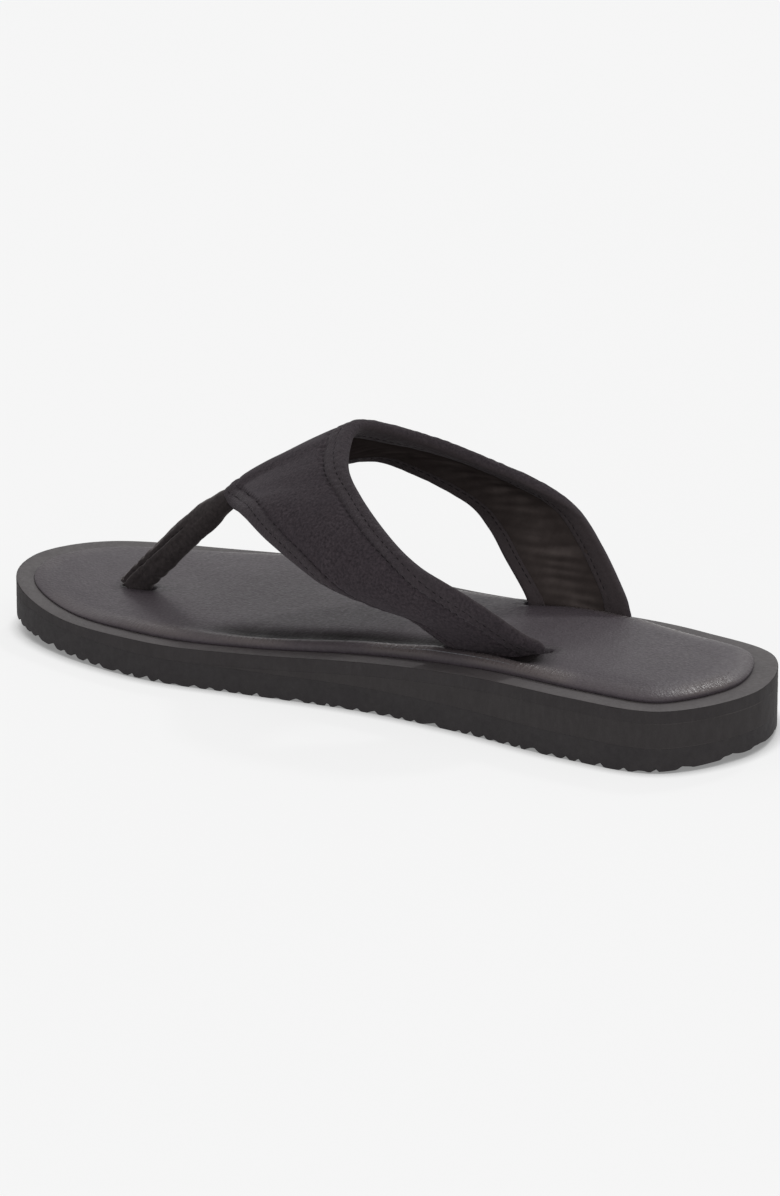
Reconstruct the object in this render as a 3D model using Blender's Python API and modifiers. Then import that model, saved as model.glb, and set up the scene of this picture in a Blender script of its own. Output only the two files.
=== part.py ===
"""Padded thong sandal for the right foot, built as its separate pieces.

Metres, +Z up. The toe points to -Y and the big-toe (medial) side is +X. The origin is at the
bottom centre of the bounding box, on the ground. Design values below are in millimetres.
"""

import bmesh
import bpy
import math
import numpy as np

MM = 0.001
NAME = "thong_sandal"

# --- driving dimensions (mm) -------------------------------------------------------------------

# Sole outline seen from above, a closed smooth curve, from the toe tip round the medial side.
OUTLINE = (
    (9.5, -132.5), (33, -123.5), (46.5, -97), (51.2, -60.5), (45.3, -26.5), (38.2, 12.5),
    (37.2, 48.5), (39.6, 89.5), (34.2, 121), (2, 134.5), (-30, 121), (-37.7, 90),
    (-39.4, 48.5), (-42.6, 8), (-49.4, -32.5), (-50.4, -69), (-40.2, -100), (-18.5, -123.5),
)
BOX_CENTRE = np.array((0.1, 0.8, 0.0))
RING_POINTS = 56
CURVE_STEPS = 24
SHARP_ANGLE = 35
GRID_ACROSS = 5

FOREFOOT_THICKNESS = 12.5
HEEL_LIFT = 7.3
WEDGE_HEIGHT = 7.9
LIFT_FROM, LIFT_TO = -55, 85
TOE_SPRING = 5.6
TOE_SPRING_FROM, TOE_END = -20, -132.5
TOE_SPRING_POWER = 3.2
TOE_THINNING = 1.7
TOE_THIN_AT, TOE_THIN_WIDTH = -98, 24
HEEL_BEVEL = 2.0
HEEL_BEVEL_FROM, HEEL_END = 103, 134.5

GAP = 0.3
OUTSOLE_THICKNESS = 7.9
TREAD_PITCH = 6.0
TREAD_DEPTH = 1.0
TREAD_LAND = 3.6
OUTSOLE_TOP_POINTS = 24
PROFILE_HALF_WIDTH = 60
TRIM_HEIGHTS = (-5, 25)
WEDGE_FROM = -34

RIM_FORE, RIM_HEEL = 5.8, 7.4
RIM_FROM, RIM_TO = -30, 10
COVER_THICKNESS = 0.7
HEM_WIDTH = 7.5
HEM_INSET = 1.0
HEM_HEIGHT = 0.65
BOARD = (0.35, 0.95)
BOARD_INSET = 9.6
FOAM_FROM = 1.3
FOAM_INSET = 2.4
PAD_FORE, PAD_HEEL = 2.9, 3.6
PAD_FROM, PAD_TO = -60, 30
PAD_EDGE_RADIUS = 2.4
PAD_EDGE_TURNS = (-60, 0, 30, 60, 90)

# Strap edges, from the medial slot over the foot to the lateral slot.
FRONT_EDGE = (
    (22, 34.6, 20.5), (23.5, 32.6, 24.4), (30, 22.5, 33.6), (37, 9, 37.9), (43, -3, 43.5),
    (40, -19.6, 49.5), (33, -34, 53.5), (22, -44.5, 50.8), (12.5, -53.5, 48.0), (8.7, -58, 48.8),
    (4.5, -54, 50), (-14, -46, 53.5), (-34, -34.5, 56), (-41, -20, 51.7), (-44, -2.5, 44.4),
    (-39.8, 9.4, 38.3), (-33, 20.1, 31.9), (-26.6, 31.5, 24.5), (-25.6, 34.2, 20.5),
)
REAR_EDGE = (
    (15.8, 67.8, 20.5), (17, 67.0, 25), (23, 63.5, 29.3), (33.5, 53, 40.6), (38, 39.5, 48.8),
    (35.5, 24.8, 55.8), (26, 5.6, 65), (16, -6.5, 72), (-2.6, -14, 78), (-21.5, -6.5, 71),
    (-31, 6.5, 64.7), (-40.5, 25.5, 56.2), (-43.3, 40.1, 49.4), (-39, 52.5, 40.4),
    (-32.3, 64.7, 29.8), (-30.3, 68.2, 24.8), (-29.8, 69.3, 20.5),
)
STRAP_STEPS = 42
STRAP_CROWN = 2.8
CROWN_SKEW = 0.5
SHELL_RADIUS = 2.1
SHELL_THICKNESS = 0.8
EDGE_BAND = 10.0
STRAP_FACE_POINTS = 9
LAYER_FACE_POINTS = 8
PADDING = (-0.45, 1.35)
PADDING_MARGIN = 1.7
PADDING_TAPER = 1.2
LINING = (-1.3, -0.85)
LINING_MARGIN = 4.0
LINING_TAPER = 0.2

THREAD_RADIUS = 0.3
THREAD_GAP = 0.5
EDGE_ROW = 3.6
INNER_ROW = 7.8
THREAD_POINTS = 42
THREAD_END_STEPS = 3

# Toe post, a flat padded tube leaning back from its slot in the footbed to the strap's neck.
POST_BASE = (12.6, -91.6, 14.4)
POST_FOOT = (12.5, -89.4, 17.4)
POST_MIDDLE = (10.8, -73.5, 33.8)
POST_TOP = (9.0, -58.7, 47.7)
POST_WIDTH = 9.6
POST_DEPTH = 6.4
POST_WALL = 0.9
POST_SIDES = 16
POST_STEPS = 11
POST_TAPER = 0.2
POST_TAPER_FROM = 0.75

# Anchors: webbing tabs that go down through the slots and lie glued under the midsole.
TAB_THICKNESS = 1.5
TAB_FLANGE = 13.0
SLOT_CLEARANCE = 0.5
SLOT_ROUNDING = 0.49
SLOT_END_ROOM = 3.0
POCKET_END_ROOM = 4.0
SLOT_REACH_DOWN, SLOT_REACH_UP = 5, 30
POCKET_REACH_DOWN = 6
PAD_CUT_TOP = 40
CORNER_POINTS = 4
STRAP_TAB_WIDTH = 26.0
STRAP_SLOT = (38.0, 7.6)
POST_TAB_WIDTH = 9.0
POST_SLOT = (18.0, 8.0)
SLOT_DEPTH = 2.0
POCKET_RADIUS = 2.5

MATERIALS = {
    "rubber": ((0.020, 0.020, 0.021), 0.75, 0.0),
    "foam_sole": ((0.035, 0.034, 0.034), 0.85, 0.0),
    "board": ((0.30, 0.22, 0.14), 0.90, 0.0),
    "cushion": ((0.12, 0.12, 0.13), 0.95, 0.0),
    "footbed": ((0.018, 0.018, 0.019), 0.50, 0.0),
    "fabric": ((0.010, 0.010, 0.014), 0.90, 0.0),
    "lining": ((0.022, 0.019, 0.018), 0.80, 0.0),
    "webbing": ((0.030, 0.030, 0.032), 0.85, 0.0),
    "thread": ((0.012, 0.012, 0.015), 0.70, 0.0),
}


# --- curves and heights ------------------------------------------------------------------------

def smooth_curve(points, count, closed=False):
    """Points spaced evenly by length along a Catmull-Rom curve through the given points."""
    knots = np.array(points, dtype=float)
    total = len(knots)
    if closed:
        padded = np.vstack([knots[-1:], knots, knots[:2]])
        spans = total
    else:
        first = 2 * knots[0] - knots[1]
        last = 2 * knots[-1] - knots[-2]
        padded = np.vstack([first, knots, last])
        spans = total - 1
    dense = []
    for i in range(spans):
        a, b, c, d = padded[i:i + 4]
        for t in np.linspace(0, 1, CURVE_STEPS, endpoint=False):
            tangents = (c - a) * t + (2 * a - 5 * b + 4 * c - d) * t * t + (3 * b - a - 3 * c + d) * t ** 3
            dense.append(b + 0.5 * tangents)
    dense.append(knots[0] if closed else knots[-1])
    dense = np.array(dense)
    lengths = np.concatenate([[0], np.cumsum(np.linalg.norm(np.diff(dense, axis=0), axis=1))])
    targets = np.linspace(0, lengths[-1], count, endpoint=not closed)
    return np.column_stack([np.interp(targets, lengths, dense[:, k]) for k in range(dense.shape[1])])


def unit(vectors):
    return vectors / np.linalg.norm(vectors, axis=-1, keepdims=True)


def outline_ring(inset):
    """The sole outline moved inwards; its first point is at the toe tip."""
    ring = smooth_curve(OUTLINE, RING_POINTS, closed=True)
    along = unit(np.roll(ring, -1, axis=0) - np.roll(ring, 1, axis=0))
    inwards = np.column_stack([-along[:, 1], along[:, 0]])
    return ring + inwards * np.reshape(inset, (-1, 1))


def smoothstep(value, low, high):
    t = np.clip((value - low) / (high - low), 0, 1)
    return t * t * (3 - 2 * t)


def bell(value, centre, width):
    return np.exp(-((value - centre) / width) ** 2)


def sweep(y, start, end, height, power):
    """Height that grows from 0 at the line y = start to its full value at y = end."""
    return height * np.clip((y - start) / (end - start), 0, None) ** power


def ground_height(y):
    return sweep(y, TOE_SPRING_FROM, TOE_END, TOE_SPRING, TOE_SPRING_POWER)


def tread_height(y):
    """The lowest surface of the outsole: it follows the toe spring and is bevelled at the heel."""
    return ground_height(y) + sweep(y, HEEL_BEVEL_FROM, HEEL_END, HEEL_BEVEL, 2)


def outsole_top(y):
    return ground_height(y) + OUTSOLE_THICKNESS - GAP / 2


def midsole_bottom(y):
    wedge = WEDGE_HEIGHT * smoothstep(y, LIFT_FROM, LIFT_TO)
    return ground_height(y) + OUTSOLE_THICKNESS + wedge + GAP / 2


def pad_height(y):
    """Height of the footbed's top above the rim."""
    return PAD_FORE + (PAD_HEEL - PAD_FORE) * smoothstep(y, PAD_FROM, PAD_TO)


def rim_height(y):
    lift = HEEL_LIFT * smoothstep(y, LIFT_FROM, LIFT_TO)
    thinning = TOE_THINNING * bell(y, TOE_THIN_AT, TOE_THIN_WIDTH)
    return ground_height(y) + FOREFOOT_THICKNESS + lift - thinning


def rim_width(y):
    return RIM_FORE + (RIM_HEEL - RIM_FORE) * smoothstep(y, RIM_FROM, RIM_TO)


def pad_ring(inset):
    """The footbed's border moved inwards."""
    return outline_ring(rim_width(outline_ring(0)[:, 1]) + inset)


# --- mesh building -----------------------------------------------------------------------------

def material_for(slot):
    material = bpy.data.materials.get(slot)
    if material is None:
        colour, roughness, metallic = MATERIALS[slot]
        material = bpy.data.materials.new(slot)
        material.use_nodes = True
        shader = material.node_tree.nodes["Principled BSDF"]
        shader.inputs["Base Color"].default_value = (*colour, 1)
        shader.inputs["Roughness"].default_value = roughness
        shader.inputs["Metallic"].default_value = metallic
    return material


def finish_object(name, data, slot, collection):
    obj = bpy.data.objects.new(name, data)
    data.materials.append(material_for(slot))
    collection.objects.link(obj)
    return obj


def mesh_object(name, vertices, faces, slot, collection):
    """A mesh object from millimetre coordinates, with its faces turned outwards."""
    mesh = bpy.data.meshes.new(name)
    placed = (np.array([tuple(v) for v in vertices], dtype=float) - BOX_CENTRE) * MM
    mesh.from_pydata(placed.tolist(), [], faces)
    bm = bmesh.new()
    bm.from_mesh(mesh)
    bmesh.ops.remove_doubles(bm, verts=bm.verts, dist=1e-6)
    bmesh.ops.recalc_face_normals(bm, faces=bm.faces)
    bm.to_mesh(mesh)
    bm.free()
    mesh.shade_smooth()
    mesh.set_sharp_from_angle(angle=math.radians(SHARP_ANGLE))
    return finish_object(name, mesh, slot, collection)


def grid_rows(ring):
    """Rows across a ring whose first point is the toe tip, medial side first."""
    half = len(ring) // 2
    rows = []
    for i in range(half + 1):
        medial = ring[i]
        lateral = ring[-i % len(ring)]
        steps = 0 if i in (0, half) else GRID_ACROSS
        rows.append([medial + (lateral - medial) * k / max(steps, 1) for k in range(steps + 1)])
    return rows


def row_faces(offsets, counts):
    """Faces between neighbouring rows; a row may be a single point."""
    faces = []
    for i in range(len(counts) - 1):
        a, b = offsets[i], offsets[i + 1]
        steps = max(counts[i], counts[i + 1]) - 1
        for k in range(steps):
            near = [a] if counts[i] == 1 else [a + k, a + k + 1]
            far = [b] if counts[i + 1] == 1 else [b + k + 1, b + k]
            faces.append(near + far)
    return faces


def slab(name, ring, low, high, slot, collection, start=None):
    """A sole layer: a ring of points filled between two height functions of y."""
    rows = grid_rows(ring)
    if start is not None:
        rows = [row for row in rows if row[0][1] > start and row[-1][1] > start]
    counts = [len(row) for row in rows]
    offsets = list(np.concatenate([[0], np.cumsum(counts)]))
    total = int(offsets.pop())
    flat = np.array([point for row in rows for point in row])
    bottom = [(x, y, low(y)) for x, y in flat]
    top = [(x, y, high(y)) for x, y in flat]
    faces = row_faces(offsets, counts)
    faces += [[total + i for i in reversed(face)] for face in faces]
    medial = offsets
    lateral = [offset + count - 1 for offset, count in zip(offsets, counts)]
    border = medial + lateral[::-1]
    border = [v for i, v in enumerate(border) if v != border[i - 1]]
    if counts[0] > 1:
        front = list(range(offsets[0] + counts[0] - 2, offsets[0], -1))
        border += front
    for i, v in enumerate(border):
        w = border[(i + 1) % len(border)]
        faces.append([v, w, w + total, v + total])
    return mesh_object(name, bottom + top, faces, slot, collection)


def rounded_prism(name, centre, angle, length, width, radius, low, high, collection):
    """A cutter: an upright bar with rounded corners."""
    outline = []
    for quarter, (sx, sy) in enumerate(((1, -1), (1, 1), (-1, 1), (-1, -1))):
        corner = (sx * (length / 2 - radius), sy * (width / 2 - radius))
        for turn in np.linspace(0, math.pi / 2, CORNER_POINTS) + (quarter - 1) * math.pi / 2:
            outline.append((corner[0] + radius * math.cos(turn), corner[1] + radius * math.sin(turn)))
    c, s = math.cos(angle), math.sin(angle)
    placed = [(centre[0] + c * x - s * y, centre[1] + s * x + c * y) for x, y in outline]
    count = len(placed)
    vertices = [(x, y, low) for x, y in placed] + [(x, y, high) for x, y in placed]
    faces = [list(range(count))[::-1], list(range(count, 2 * count))]
    faces += [[i, (i + 1) % count, (i + 1) % count + count, i + count] for i in range(count)]
    return hide_cutter(mesh_object(name, vertices, faces, "rubber", collection))


def hide_cutter(cutter):
    cutter.hide_render = True
    cutter.display_type = "WIRE"
    return cutter


def cut(obj, cutters, operation="DIFFERENCE"):
    for cutter in cutters:
        modifier = obj.modifiers.new(cutter.name, "BOOLEAN")
        modifier.operation = operation
        modifier.solver = "EXACT"
        modifier.object = cutter


def sections_to_tube(sections, capped=True):
    """Faces that join equal closed sections one after another, with flat ends."""
    count = len(sections[0])
    faces = []
    for i in range(len(sections) - 1):
        for k in range(count):
            a = i * count + k
            b = i * count + (k + 1) % count
            faces.append([a, b, b + count, a + count])
    if capped:
        last = (len(sections) - 1) * count
        faces.append(list(range(count))[::-1])
        faces.append(list(range(last, last + count)))
    return faces


# --- sole --------------------------------------------------------------------------------------

def tread_profile():
    """The outsole seen from the side: a grooved underside and a smooth top."""
    points = []
    teeth = int(2 * -TOE_END // TREAD_PITCH) + 4
    start = -teeth / 2 * TREAD_PITCH
    for i in range(teeth):
        y = start + i * TREAD_PITCH
        points.append((y, tread_height(y)))
        points.append((y + TREAD_LAND, tread_height(y + TREAD_LAND)))
        middle = y + (TREAD_LAND + TREAD_PITCH) / 2
        points.append((middle, tread_height(middle) + TREAD_DEPTH))
    reach = points[-1][0]
    for y in np.linspace(reach, start, OUTSOLE_TOP_POINTS):
        points.append((y, outsole_top(y)))
    return points


def build_outsole(parts, cutters):
    """Tread profile drawn across the sole's width, trimmed to the sole outline."""
    profile = tread_profile()
    count = len(profile)
    vertices = [(side * PROFILE_HALF_WIDTH, y, z) for side in (-1, 1) for y, z in profile]
    faces = [list(range(count)), list(range(count, 2 * count))[::-1]]
    faces += [[i, i + count, (i + 1) % count + count, (i + 1) % count] for i in range(count)]
    outsole = mesh_object("outsole", vertices, faces, "rubber", parts)
    ring = outline_ring(0)
    size = len(ring)
    upright = [(x, y, z) for z in TRIM_HEIGHTS for x, y in ring]
    sides = [[i, (i + 1) % size, (i + 1) % size + size, i + size] for i in range(size)]
    ends = [list(range(size))[::-1], list(range(size, 2 * size))]
    trim = hide_cutter(mesh_object("outsole_trim", upright, sides + ends, "rubber", cutters))
    cut(outsole, [trim], "INTERSECT")


def cover_height(y, share):
    """Height of the cover's mid-surface, from its hem (share 0) to its top (share 1)."""
    top = pad_height(y) - COVER_THICKNESS / 2
    return rim_height(y) + HEM_HEIGHT + (top - HEM_HEIGHT) * share


def build_footbed_cover(parts, cutters):
    """Cover sheet: turned under at the edge, rolled over it, and flat across the top."""
    half = COVER_THICKNESS / 2
    rings = [(half + HEM_INSET + HEM_WIDTH, 0), (half + HEM_INSET, 0)]
    for turn in PAD_EDGE_TURNS:
        angle = math.radians(turn)
        inset = half + PAD_EDGE_RADIUS * (1 - math.cos(angle))
        rings.append((inset, (1 + math.sin(angle)) / 2))
    vertices, faces = [], []
    for inset, share in rings:
        vertices += [(x, y, cover_height(y, share)) for x, y in pad_ring(inset)]
    for level in range(len(rings) - 1):
        for i in range(RING_POINTS):
            a = level * RING_POINTS + i
            b = level * RING_POINTS + (i + 1) % RING_POINTS
            faces.append([a, b, b + RING_POINTS, a + RING_POINTS])
    rows = grid_rows(pad_ring(rings[-1][0]))
    counts = [len(row) for row in rows]
    offsets = [len(vertices) + int(n) for n in np.concatenate([[0], np.cumsum(counts)])[:-1]]
    vertices += [(x, y, cover_height(y, 1)) for row in rows for x, y in row]
    faces += row_faces(offsets, counts)
    cover = mesh_object("footbed_cover", vertices, faces, "footbed", parts)
    solid = cover.modifiers.new("thickness", "SOLIDIFY")
    solid.thickness = COVER_THICKNESS * MM
    solid.offset = 0
    cut(cover, cutters)


# --- strap -------------------------------------------------------------------------------------

def strap_frames():
    """Front point, chord direction, outward normal and width of each strap section."""
    front = smooth_curve(FRONT_EDGE, STRAP_STEPS + 1)
    rear = smooth_curve(REAR_EDGE, STRAP_STEPS + 1)
    middle = (front + rear) / 2
    along = np.gradient(middle, axis=0)
    chord = unit(rear - front)
    outward = unit(np.cross(chord, along))
    width = np.linalg.norm(rear - front, axis=1)
    return front, chord, outward, width


def strap_point(frame, step, across, offset):
    """A point of the strap: across from the front edge, offset outwards from its mid-surface."""
    front, chord, outward, width = frame
    share = across / width[step]
    fade = math.sin(math.pi * step / STRAP_STEPS) ** 0.5
    crown = STRAP_CROWN * fade * 4 * share * (1 - share) * (1 + CROWN_SKEW * (1 - 2 * share))
    return front[step] + chord[step] * across + outward[step] * (offset + crown)


def build_strap_outer(frame, parts):
    """Outer fabric: over the top, rolled round both edges, ending in a band on the inside."""
    radius = SHELL_RADIUS
    vertices = []
    for step in range(STRAP_STEPS + 1):
        width = frame[3][step]
        edge = [(EDGE_BAND, -radius), (radius, -radius)]
        edge += [(0.3 * radius, -0.7 * radius), (0, 0), (0.3 * radius, 0.7 * radius)]
        far_edge = [(width - across, offset) for across, offset in reversed(edge)]
        face = np.linspace(radius, width - radius, STRAP_FACE_POINTS)
        profile = edge + [(across, radius) for across in face] + far_edge
        vertices += [strap_point(frame, step, across, offset) for across, offset in profile]
    count = len(profile)
    faces = []
    for step in range(STRAP_STEPS):
        for k in range(count - 1):
            a = step * count + k
            faces.append([a, a + 1, a + 1 + count, a + count])
    outer = mesh_object("strap_outer_fabric", vertices, faces, "fabric", parts)
    solid = outer.modifiers.new("thickness", "SOLIDIFY")
    solid.thickness = SHELL_THICKNESS * MM
    solid.offset = 0


def build_strap_layer(name, frame, levels, margin, taper, slot, parts):
    """A solid layer inside the strap, between two offsets from the mid-surface."""
    low, high = levels
    middle = (low + high) / 2
    sections = []
    for step in range(STRAP_STEPS + 1):
        width = frame[3][step]
        face = np.linspace(margin + taper, width - margin - taper, LAYER_FACE_POINTS)
        profile = [(margin, middle)] + [(across, high) for across in face]
        profile += [(width - margin, middle)] + [(across, low) for across in face[::-1]]
        sections.append([strap_point(frame, step, across, offset) for across, offset in profile])
    vertices = [point for section in sections for point in section]
    return mesh_object(name, vertices, sections_to_tube(sections), slot, parts)


def thread_curve(name, points, parts):
    """A sewing thread as a thin round tube."""
    curve = bpy.data.curves.new(name, "CURVE")
    curve.dimensions = "3D"
    spline = curve.splines.new("POLY")
    spline.points.add(len(points) - 1)
    for node, point in zip(spline.points, points):
        node.co = (*((np.asarray(point) - BOX_CENTRE) * MM), 1)
    curve.bevel_depth = THREAD_RADIUS * MM
    curve.bevel_resolution = 1
    curve.use_fill_caps = True
    return finish_object(name, curve, "thread", parts)


def build_post_threads(parts):
    """The lengthwise seam on the post's medial face, and the seam round its top."""
    lift = GAP + THREAD_RADIUS
    sections = post_sections(-lift, POST_STEPS, POST_TAPER)
    side = [section[0] for section in sections[2:-2]]
    thread_curve("toe_post_topstitch", side, parts)
    curve = thread_curve("neck_seam_thread", sections[-2], parts)
    curve.data.splines[0].use_cyclic_u = True


def build_strap_threads(frame, parts):
    """Twin rows of topstitching along both edges of the outer face."""
    height = SHELL_RADIUS + SHELL_THICKNESS / 2 + THREAD_GAP + THREAD_RADIUS
    rows = {"front": EDGE_ROW, "front_inner": INNER_ROW, "rear": -EDGE_ROW, "rear_inner": -INNER_ROW}
    for label, inset in rows.items():
        points = []
        for step in range(THREAD_END_STEPS, STRAP_STEPS + 1 - THREAD_END_STEPS):
            width = frame[3][step]
            across = inset if inset > 0 else width + inset
            points.append(strap_point(frame, step, across, height))
        thread_curve(f"strap_topstitch_{label}", smooth_curve(points, THREAD_POINTS), parts)


# --- toe post ----------------------------------------------------------------------------------

def post_sections(inset, points, taper_end):
    """Flat oval sections along the post; the flat sides face the toes."""
    path = smooth_curve((POST_BASE, POST_FOOT, POST_MIDDLE, POST_TOP), points)
    along = unit(np.gradient(path, axis=0))
    sideways = np.array((1.0, 0.0, 0.0))
    fore_aft = unit(np.cross(along, sideways))
    sections = []
    for i, point in enumerate(path):
        narrow = 1 - taper_end * smoothstep(i, POST_TAPER_FROM * points, points)
        a = POST_DEPTH / 2 - inset
        b = (POST_WIDTH / 2 - inset) * narrow
        ring = []
        for k in range(POST_SIDES):
            turn = 2 * math.pi * k / POST_SIDES
            ring.append(point + sideways * a * math.cos(turn) + fore_aft[i] * b * math.sin(turn))
        sections.append(ring)
    return sections


def build_toe_post(parts):
    """Fabric sleeve, open at both ends, round a core of folded webbing."""
    outer = post_sections(0, POST_STEPS, POST_TAPER)
    inner = post_sections(POST_WALL, POST_STEPS, POST_TAPER)
    skin = outer + inner[::-1]
    vertices = [point for section in skin for point in section]
    faces = sections_to_tube(skin + skin[:1], capped=False)
    total = len(vertices)
    faces = [[v % total for v in face] for face in faces]
    mesh_object("toe_post_sleeve", vertices, faces, "fabric", parts)
    core = post_sections(POST_WALL + GAP, POST_STEPS, POST_TAPER)
    vertices = [point for section in core for point in section]
    mesh_object("toe_post_core", vertices, sections_to_tube(core), "webbing", parts)


# --- anchors -----------------------------------------------------------------------------------

def tab_place(start, end):
    """Centre and direction of a slot from its two ends, as seen from above."""
    a, b = np.array(start[:2], dtype=float), np.array(end[:2], dtype=float)
    centre = (a + b) / 2
    direction = b - a
    return centre, math.atan2(direction[1], direction[0])


def tab_floor(centre, width):
    """The highest point of the midsole's underside along a tab."""
    reach = width / 2
    return float(max(midsole_bottom(centre[1] - reach), midsole_bottom(centre[1] + reach)))


def build_tab(name, centre, angle, width, top, side, parts):
    """A webbing tab: down through the midsole's slot, then bent flat under the midsole."""
    low = tab_floor(centre, width)
    thick = TAB_THICKNESS
    profile = [(-thick / 2, top), (-thick / 2, low), (TAB_FLANGE, low), (TAB_FLANGE, low + thick)]
    profile += [(thick / 2, low + thick), (thick / 2, top)]
    c, s = math.cos(angle), math.sin(angle)
    sections = []
    for along in (-width / 2, width / 2):
        section = []
        for across, z in profile:
            across = across * side
            x = centre[0] + c * along - s * across
            y = centre[1] + s * along + c * across
            section.append((x, y, z))
        sections.append(section)
    vertices = [point for section in sections for point in section]
    return mesh_object(name, vertices, sections_to_tube(sections), "webbing", parts)


def tab_recess(name, centre, angle, width, side, cutters):
    """The slot and the shallow pocket under the midsole that take one tab."""
    c, s = math.cos(angle), math.sin(angle)
    low = tab_floor(centre, width)
    clear = SLOT_CLEARANCE
    slot_width = TAB_THICKNESS + 2 * clear
    slot = rounded_prism(
        name + "_slot", centre, angle, width + SLOT_END_ROOM, slot_width, SLOT_ROUNDING * slot_width,
        low - SLOT_REACH_DOWN, low + SLOT_REACH_UP, cutters,
    )
    reach = TAB_FLANGE + 2 * clear
    shift = side * (reach / 2 - clear)
    middle = (centre[0] - s * shift, centre[1] + c * shift)
    ceiling = low + TAB_THICKNESS + GAP
    pocket = rounded_prism(
        name + "_pocket", middle, angle, width + POCKET_END_ROOM, reach + 2 * clear, POCKET_RADIUS,
        low - POCKET_REACH_DOWN, ceiling, cutters,
    )
    return [slot, pocket]


def anchors():
    """Name, slot centre, slot angle, tab width, tab side and slot size of each anchor."""
    medial, medial_angle = tab_place(FRONT_EDGE[0], REAR_EDGE[0])
    lateral, lateral_angle = tab_place(FRONT_EDGE[-1], REAR_EDGE[-1])
    post = np.array(POST_FOOT[:2])
    return (
        ("medial_strap_anchor", medial, medial_angle, STRAP_TAB_WIDTH, 1, STRAP_SLOT),
        ("lateral_strap_anchor", lateral, lateral_angle, STRAP_TAB_WIDTH, -1, STRAP_SLOT),
        ("toe_post_anchor", post, math.radians(90), POST_TAB_WIDTH, 1, POST_SLOT),
    )


# --- assembly ----------------------------------------------------------------------------------

def clear_scene():
    for obj in list(bpy.data.objects):
        bpy.data.objects.remove(obj, do_unlink=True)


def new_collection(name):
    collection = bpy.data.collections.new(name)
    bpy.context.scene.collection.children.link(collection)
    return collection


def build():
    clear_scene()
    parts = new_collection(NAME)
    cutters = new_collection("cutters")

    midsole_cutters, pad_cutters = [], []
    for name, centre, angle, width, side, slot in anchors():
        midsole_cutters += tab_recess(name, centre, angle, width, side, cutters)
        floor = float(rim_height(centre[1]))
        size = (*slot, SLOT_ROUNDING * slot[1])
        opening = rounded_prism(
            name + "_opening", centre, angle, *size, floor - SLOT_DEPTH, PAD_CUT_TOP, cutters
        )
        pad_cutters.append(opening)
        midsole_cutters.append(opening)
        build_tab(name, centre, angle, width, floor - SLOT_DEPTH - GAP, side, parts)

    build_outsole(parts, cutters)
    slab(
        "heel_wedge", outline_ring(0), lambda y: outsole_top(y) + GAP,
        lambda y: midsole_bottom(y) - GAP, "foam_sole", parts, start=WEDGE_FROM,
    )
    midsole = slab("midsole", outline_ring(0), midsole_bottom, rim_height, "foam_sole", parts)
    cut(midsole, midsole_cutters)
    board = slab(
        "insole_board", pad_ring(BOARD_INSET), lambda y: rim_height(y) + BOARD[0],
        lambda y: rim_height(y) + BOARD[1], "board", parts,
    )
    cut(board, pad_cutters)
    foam = slab(
        "footbed_foam", pad_ring(FOAM_INSET), lambda y: rim_height(y) + FOAM_FROM,
        lambda y: rim_height(y) + pad_height(y) - COVER_THICKNESS - GAP, "cushion", parts,
    )
    cut(foam, pad_cutters)
    build_footbed_cover(parts, pad_cutters)

    frame = strap_frames()
    build_strap_outer(frame, parts)
    padding = (PADDING, PADDING_MARGIN, PADDING_TAPER)
    build_strap_layer("strap_padding", frame, *padding, "cushion", parts)
    lining = (LINING, LINING_MARGIN, LINING_TAPER)
    build_strap_layer("strap_lining", frame, *lining, "lining", parts)
    build_strap_threads(frame, parts)
    build_toe_post(parts)
    build_post_threads(parts)


build()
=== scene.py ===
"""Looks of the thong sandal: detailed pieces, materials, floor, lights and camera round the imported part."""

from contextlib import contextmanager
import math

import bmesh
import bpy
import numpy as np
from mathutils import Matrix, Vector
from mathutils.kdtree import KDTree


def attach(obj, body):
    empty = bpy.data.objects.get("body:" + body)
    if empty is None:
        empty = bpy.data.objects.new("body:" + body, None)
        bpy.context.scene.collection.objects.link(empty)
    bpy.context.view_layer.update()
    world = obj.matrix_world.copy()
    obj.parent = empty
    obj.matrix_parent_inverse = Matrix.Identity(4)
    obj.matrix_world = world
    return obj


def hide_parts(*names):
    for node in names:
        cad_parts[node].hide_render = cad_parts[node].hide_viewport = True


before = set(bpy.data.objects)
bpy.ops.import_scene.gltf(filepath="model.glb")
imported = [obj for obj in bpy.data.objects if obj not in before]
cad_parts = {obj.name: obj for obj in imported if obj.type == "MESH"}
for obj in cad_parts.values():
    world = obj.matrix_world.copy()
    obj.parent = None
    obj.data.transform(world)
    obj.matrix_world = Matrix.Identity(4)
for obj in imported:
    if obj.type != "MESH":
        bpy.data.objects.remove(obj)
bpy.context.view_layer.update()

MM = 0.001
SEED = 7

# --- driving dimensions (mm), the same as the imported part's ---

OUTLINE = (
    (9.5, -132.5), (33, -123.5), (46.5, -97), (51.2, -60.5), (45.3, -26.5), (38.2, 12.5),
    (37.2, 48.5), (39.6, 89.5), (34.2, 121), (2, 134.5), (-30, 121), (-37.7, 90),
    (-39.4, 48.5), (-42.6, 8), (-49.4, -32.5), (-50.4, -69), (-40.2, -100), (-18.5, -123.5),
)
BOX_CENTRE = np.array((0.1, 0.8, 0.0))
FOREFOOT_THICKNESS = 12.5
HEEL_LIFT = 7.3
WEDGE_HEIGHT = 7.9
LIFT_FROM, LIFT_TO = -55, 85
TOE_SPRING = 5.6
TOE_SPRING_FROM, TOE_END = -20, -132.5
TOE_SPRING_POWER = 3.2
TOE_THINNING = 1.7
TOE_THIN_AT, TOE_THIN_WIDTH = -98, 24
HEEL_BEVEL = 2.0
HEEL_BEVEL_FROM, HEEL_END = 103, 134.5
OUTSOLE_THICKNESS = 7.9
RIM_FORE, RIM_HEEL = 5.8, 7.4
RIM_FROM, RIM_TO = -30, 10
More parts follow.
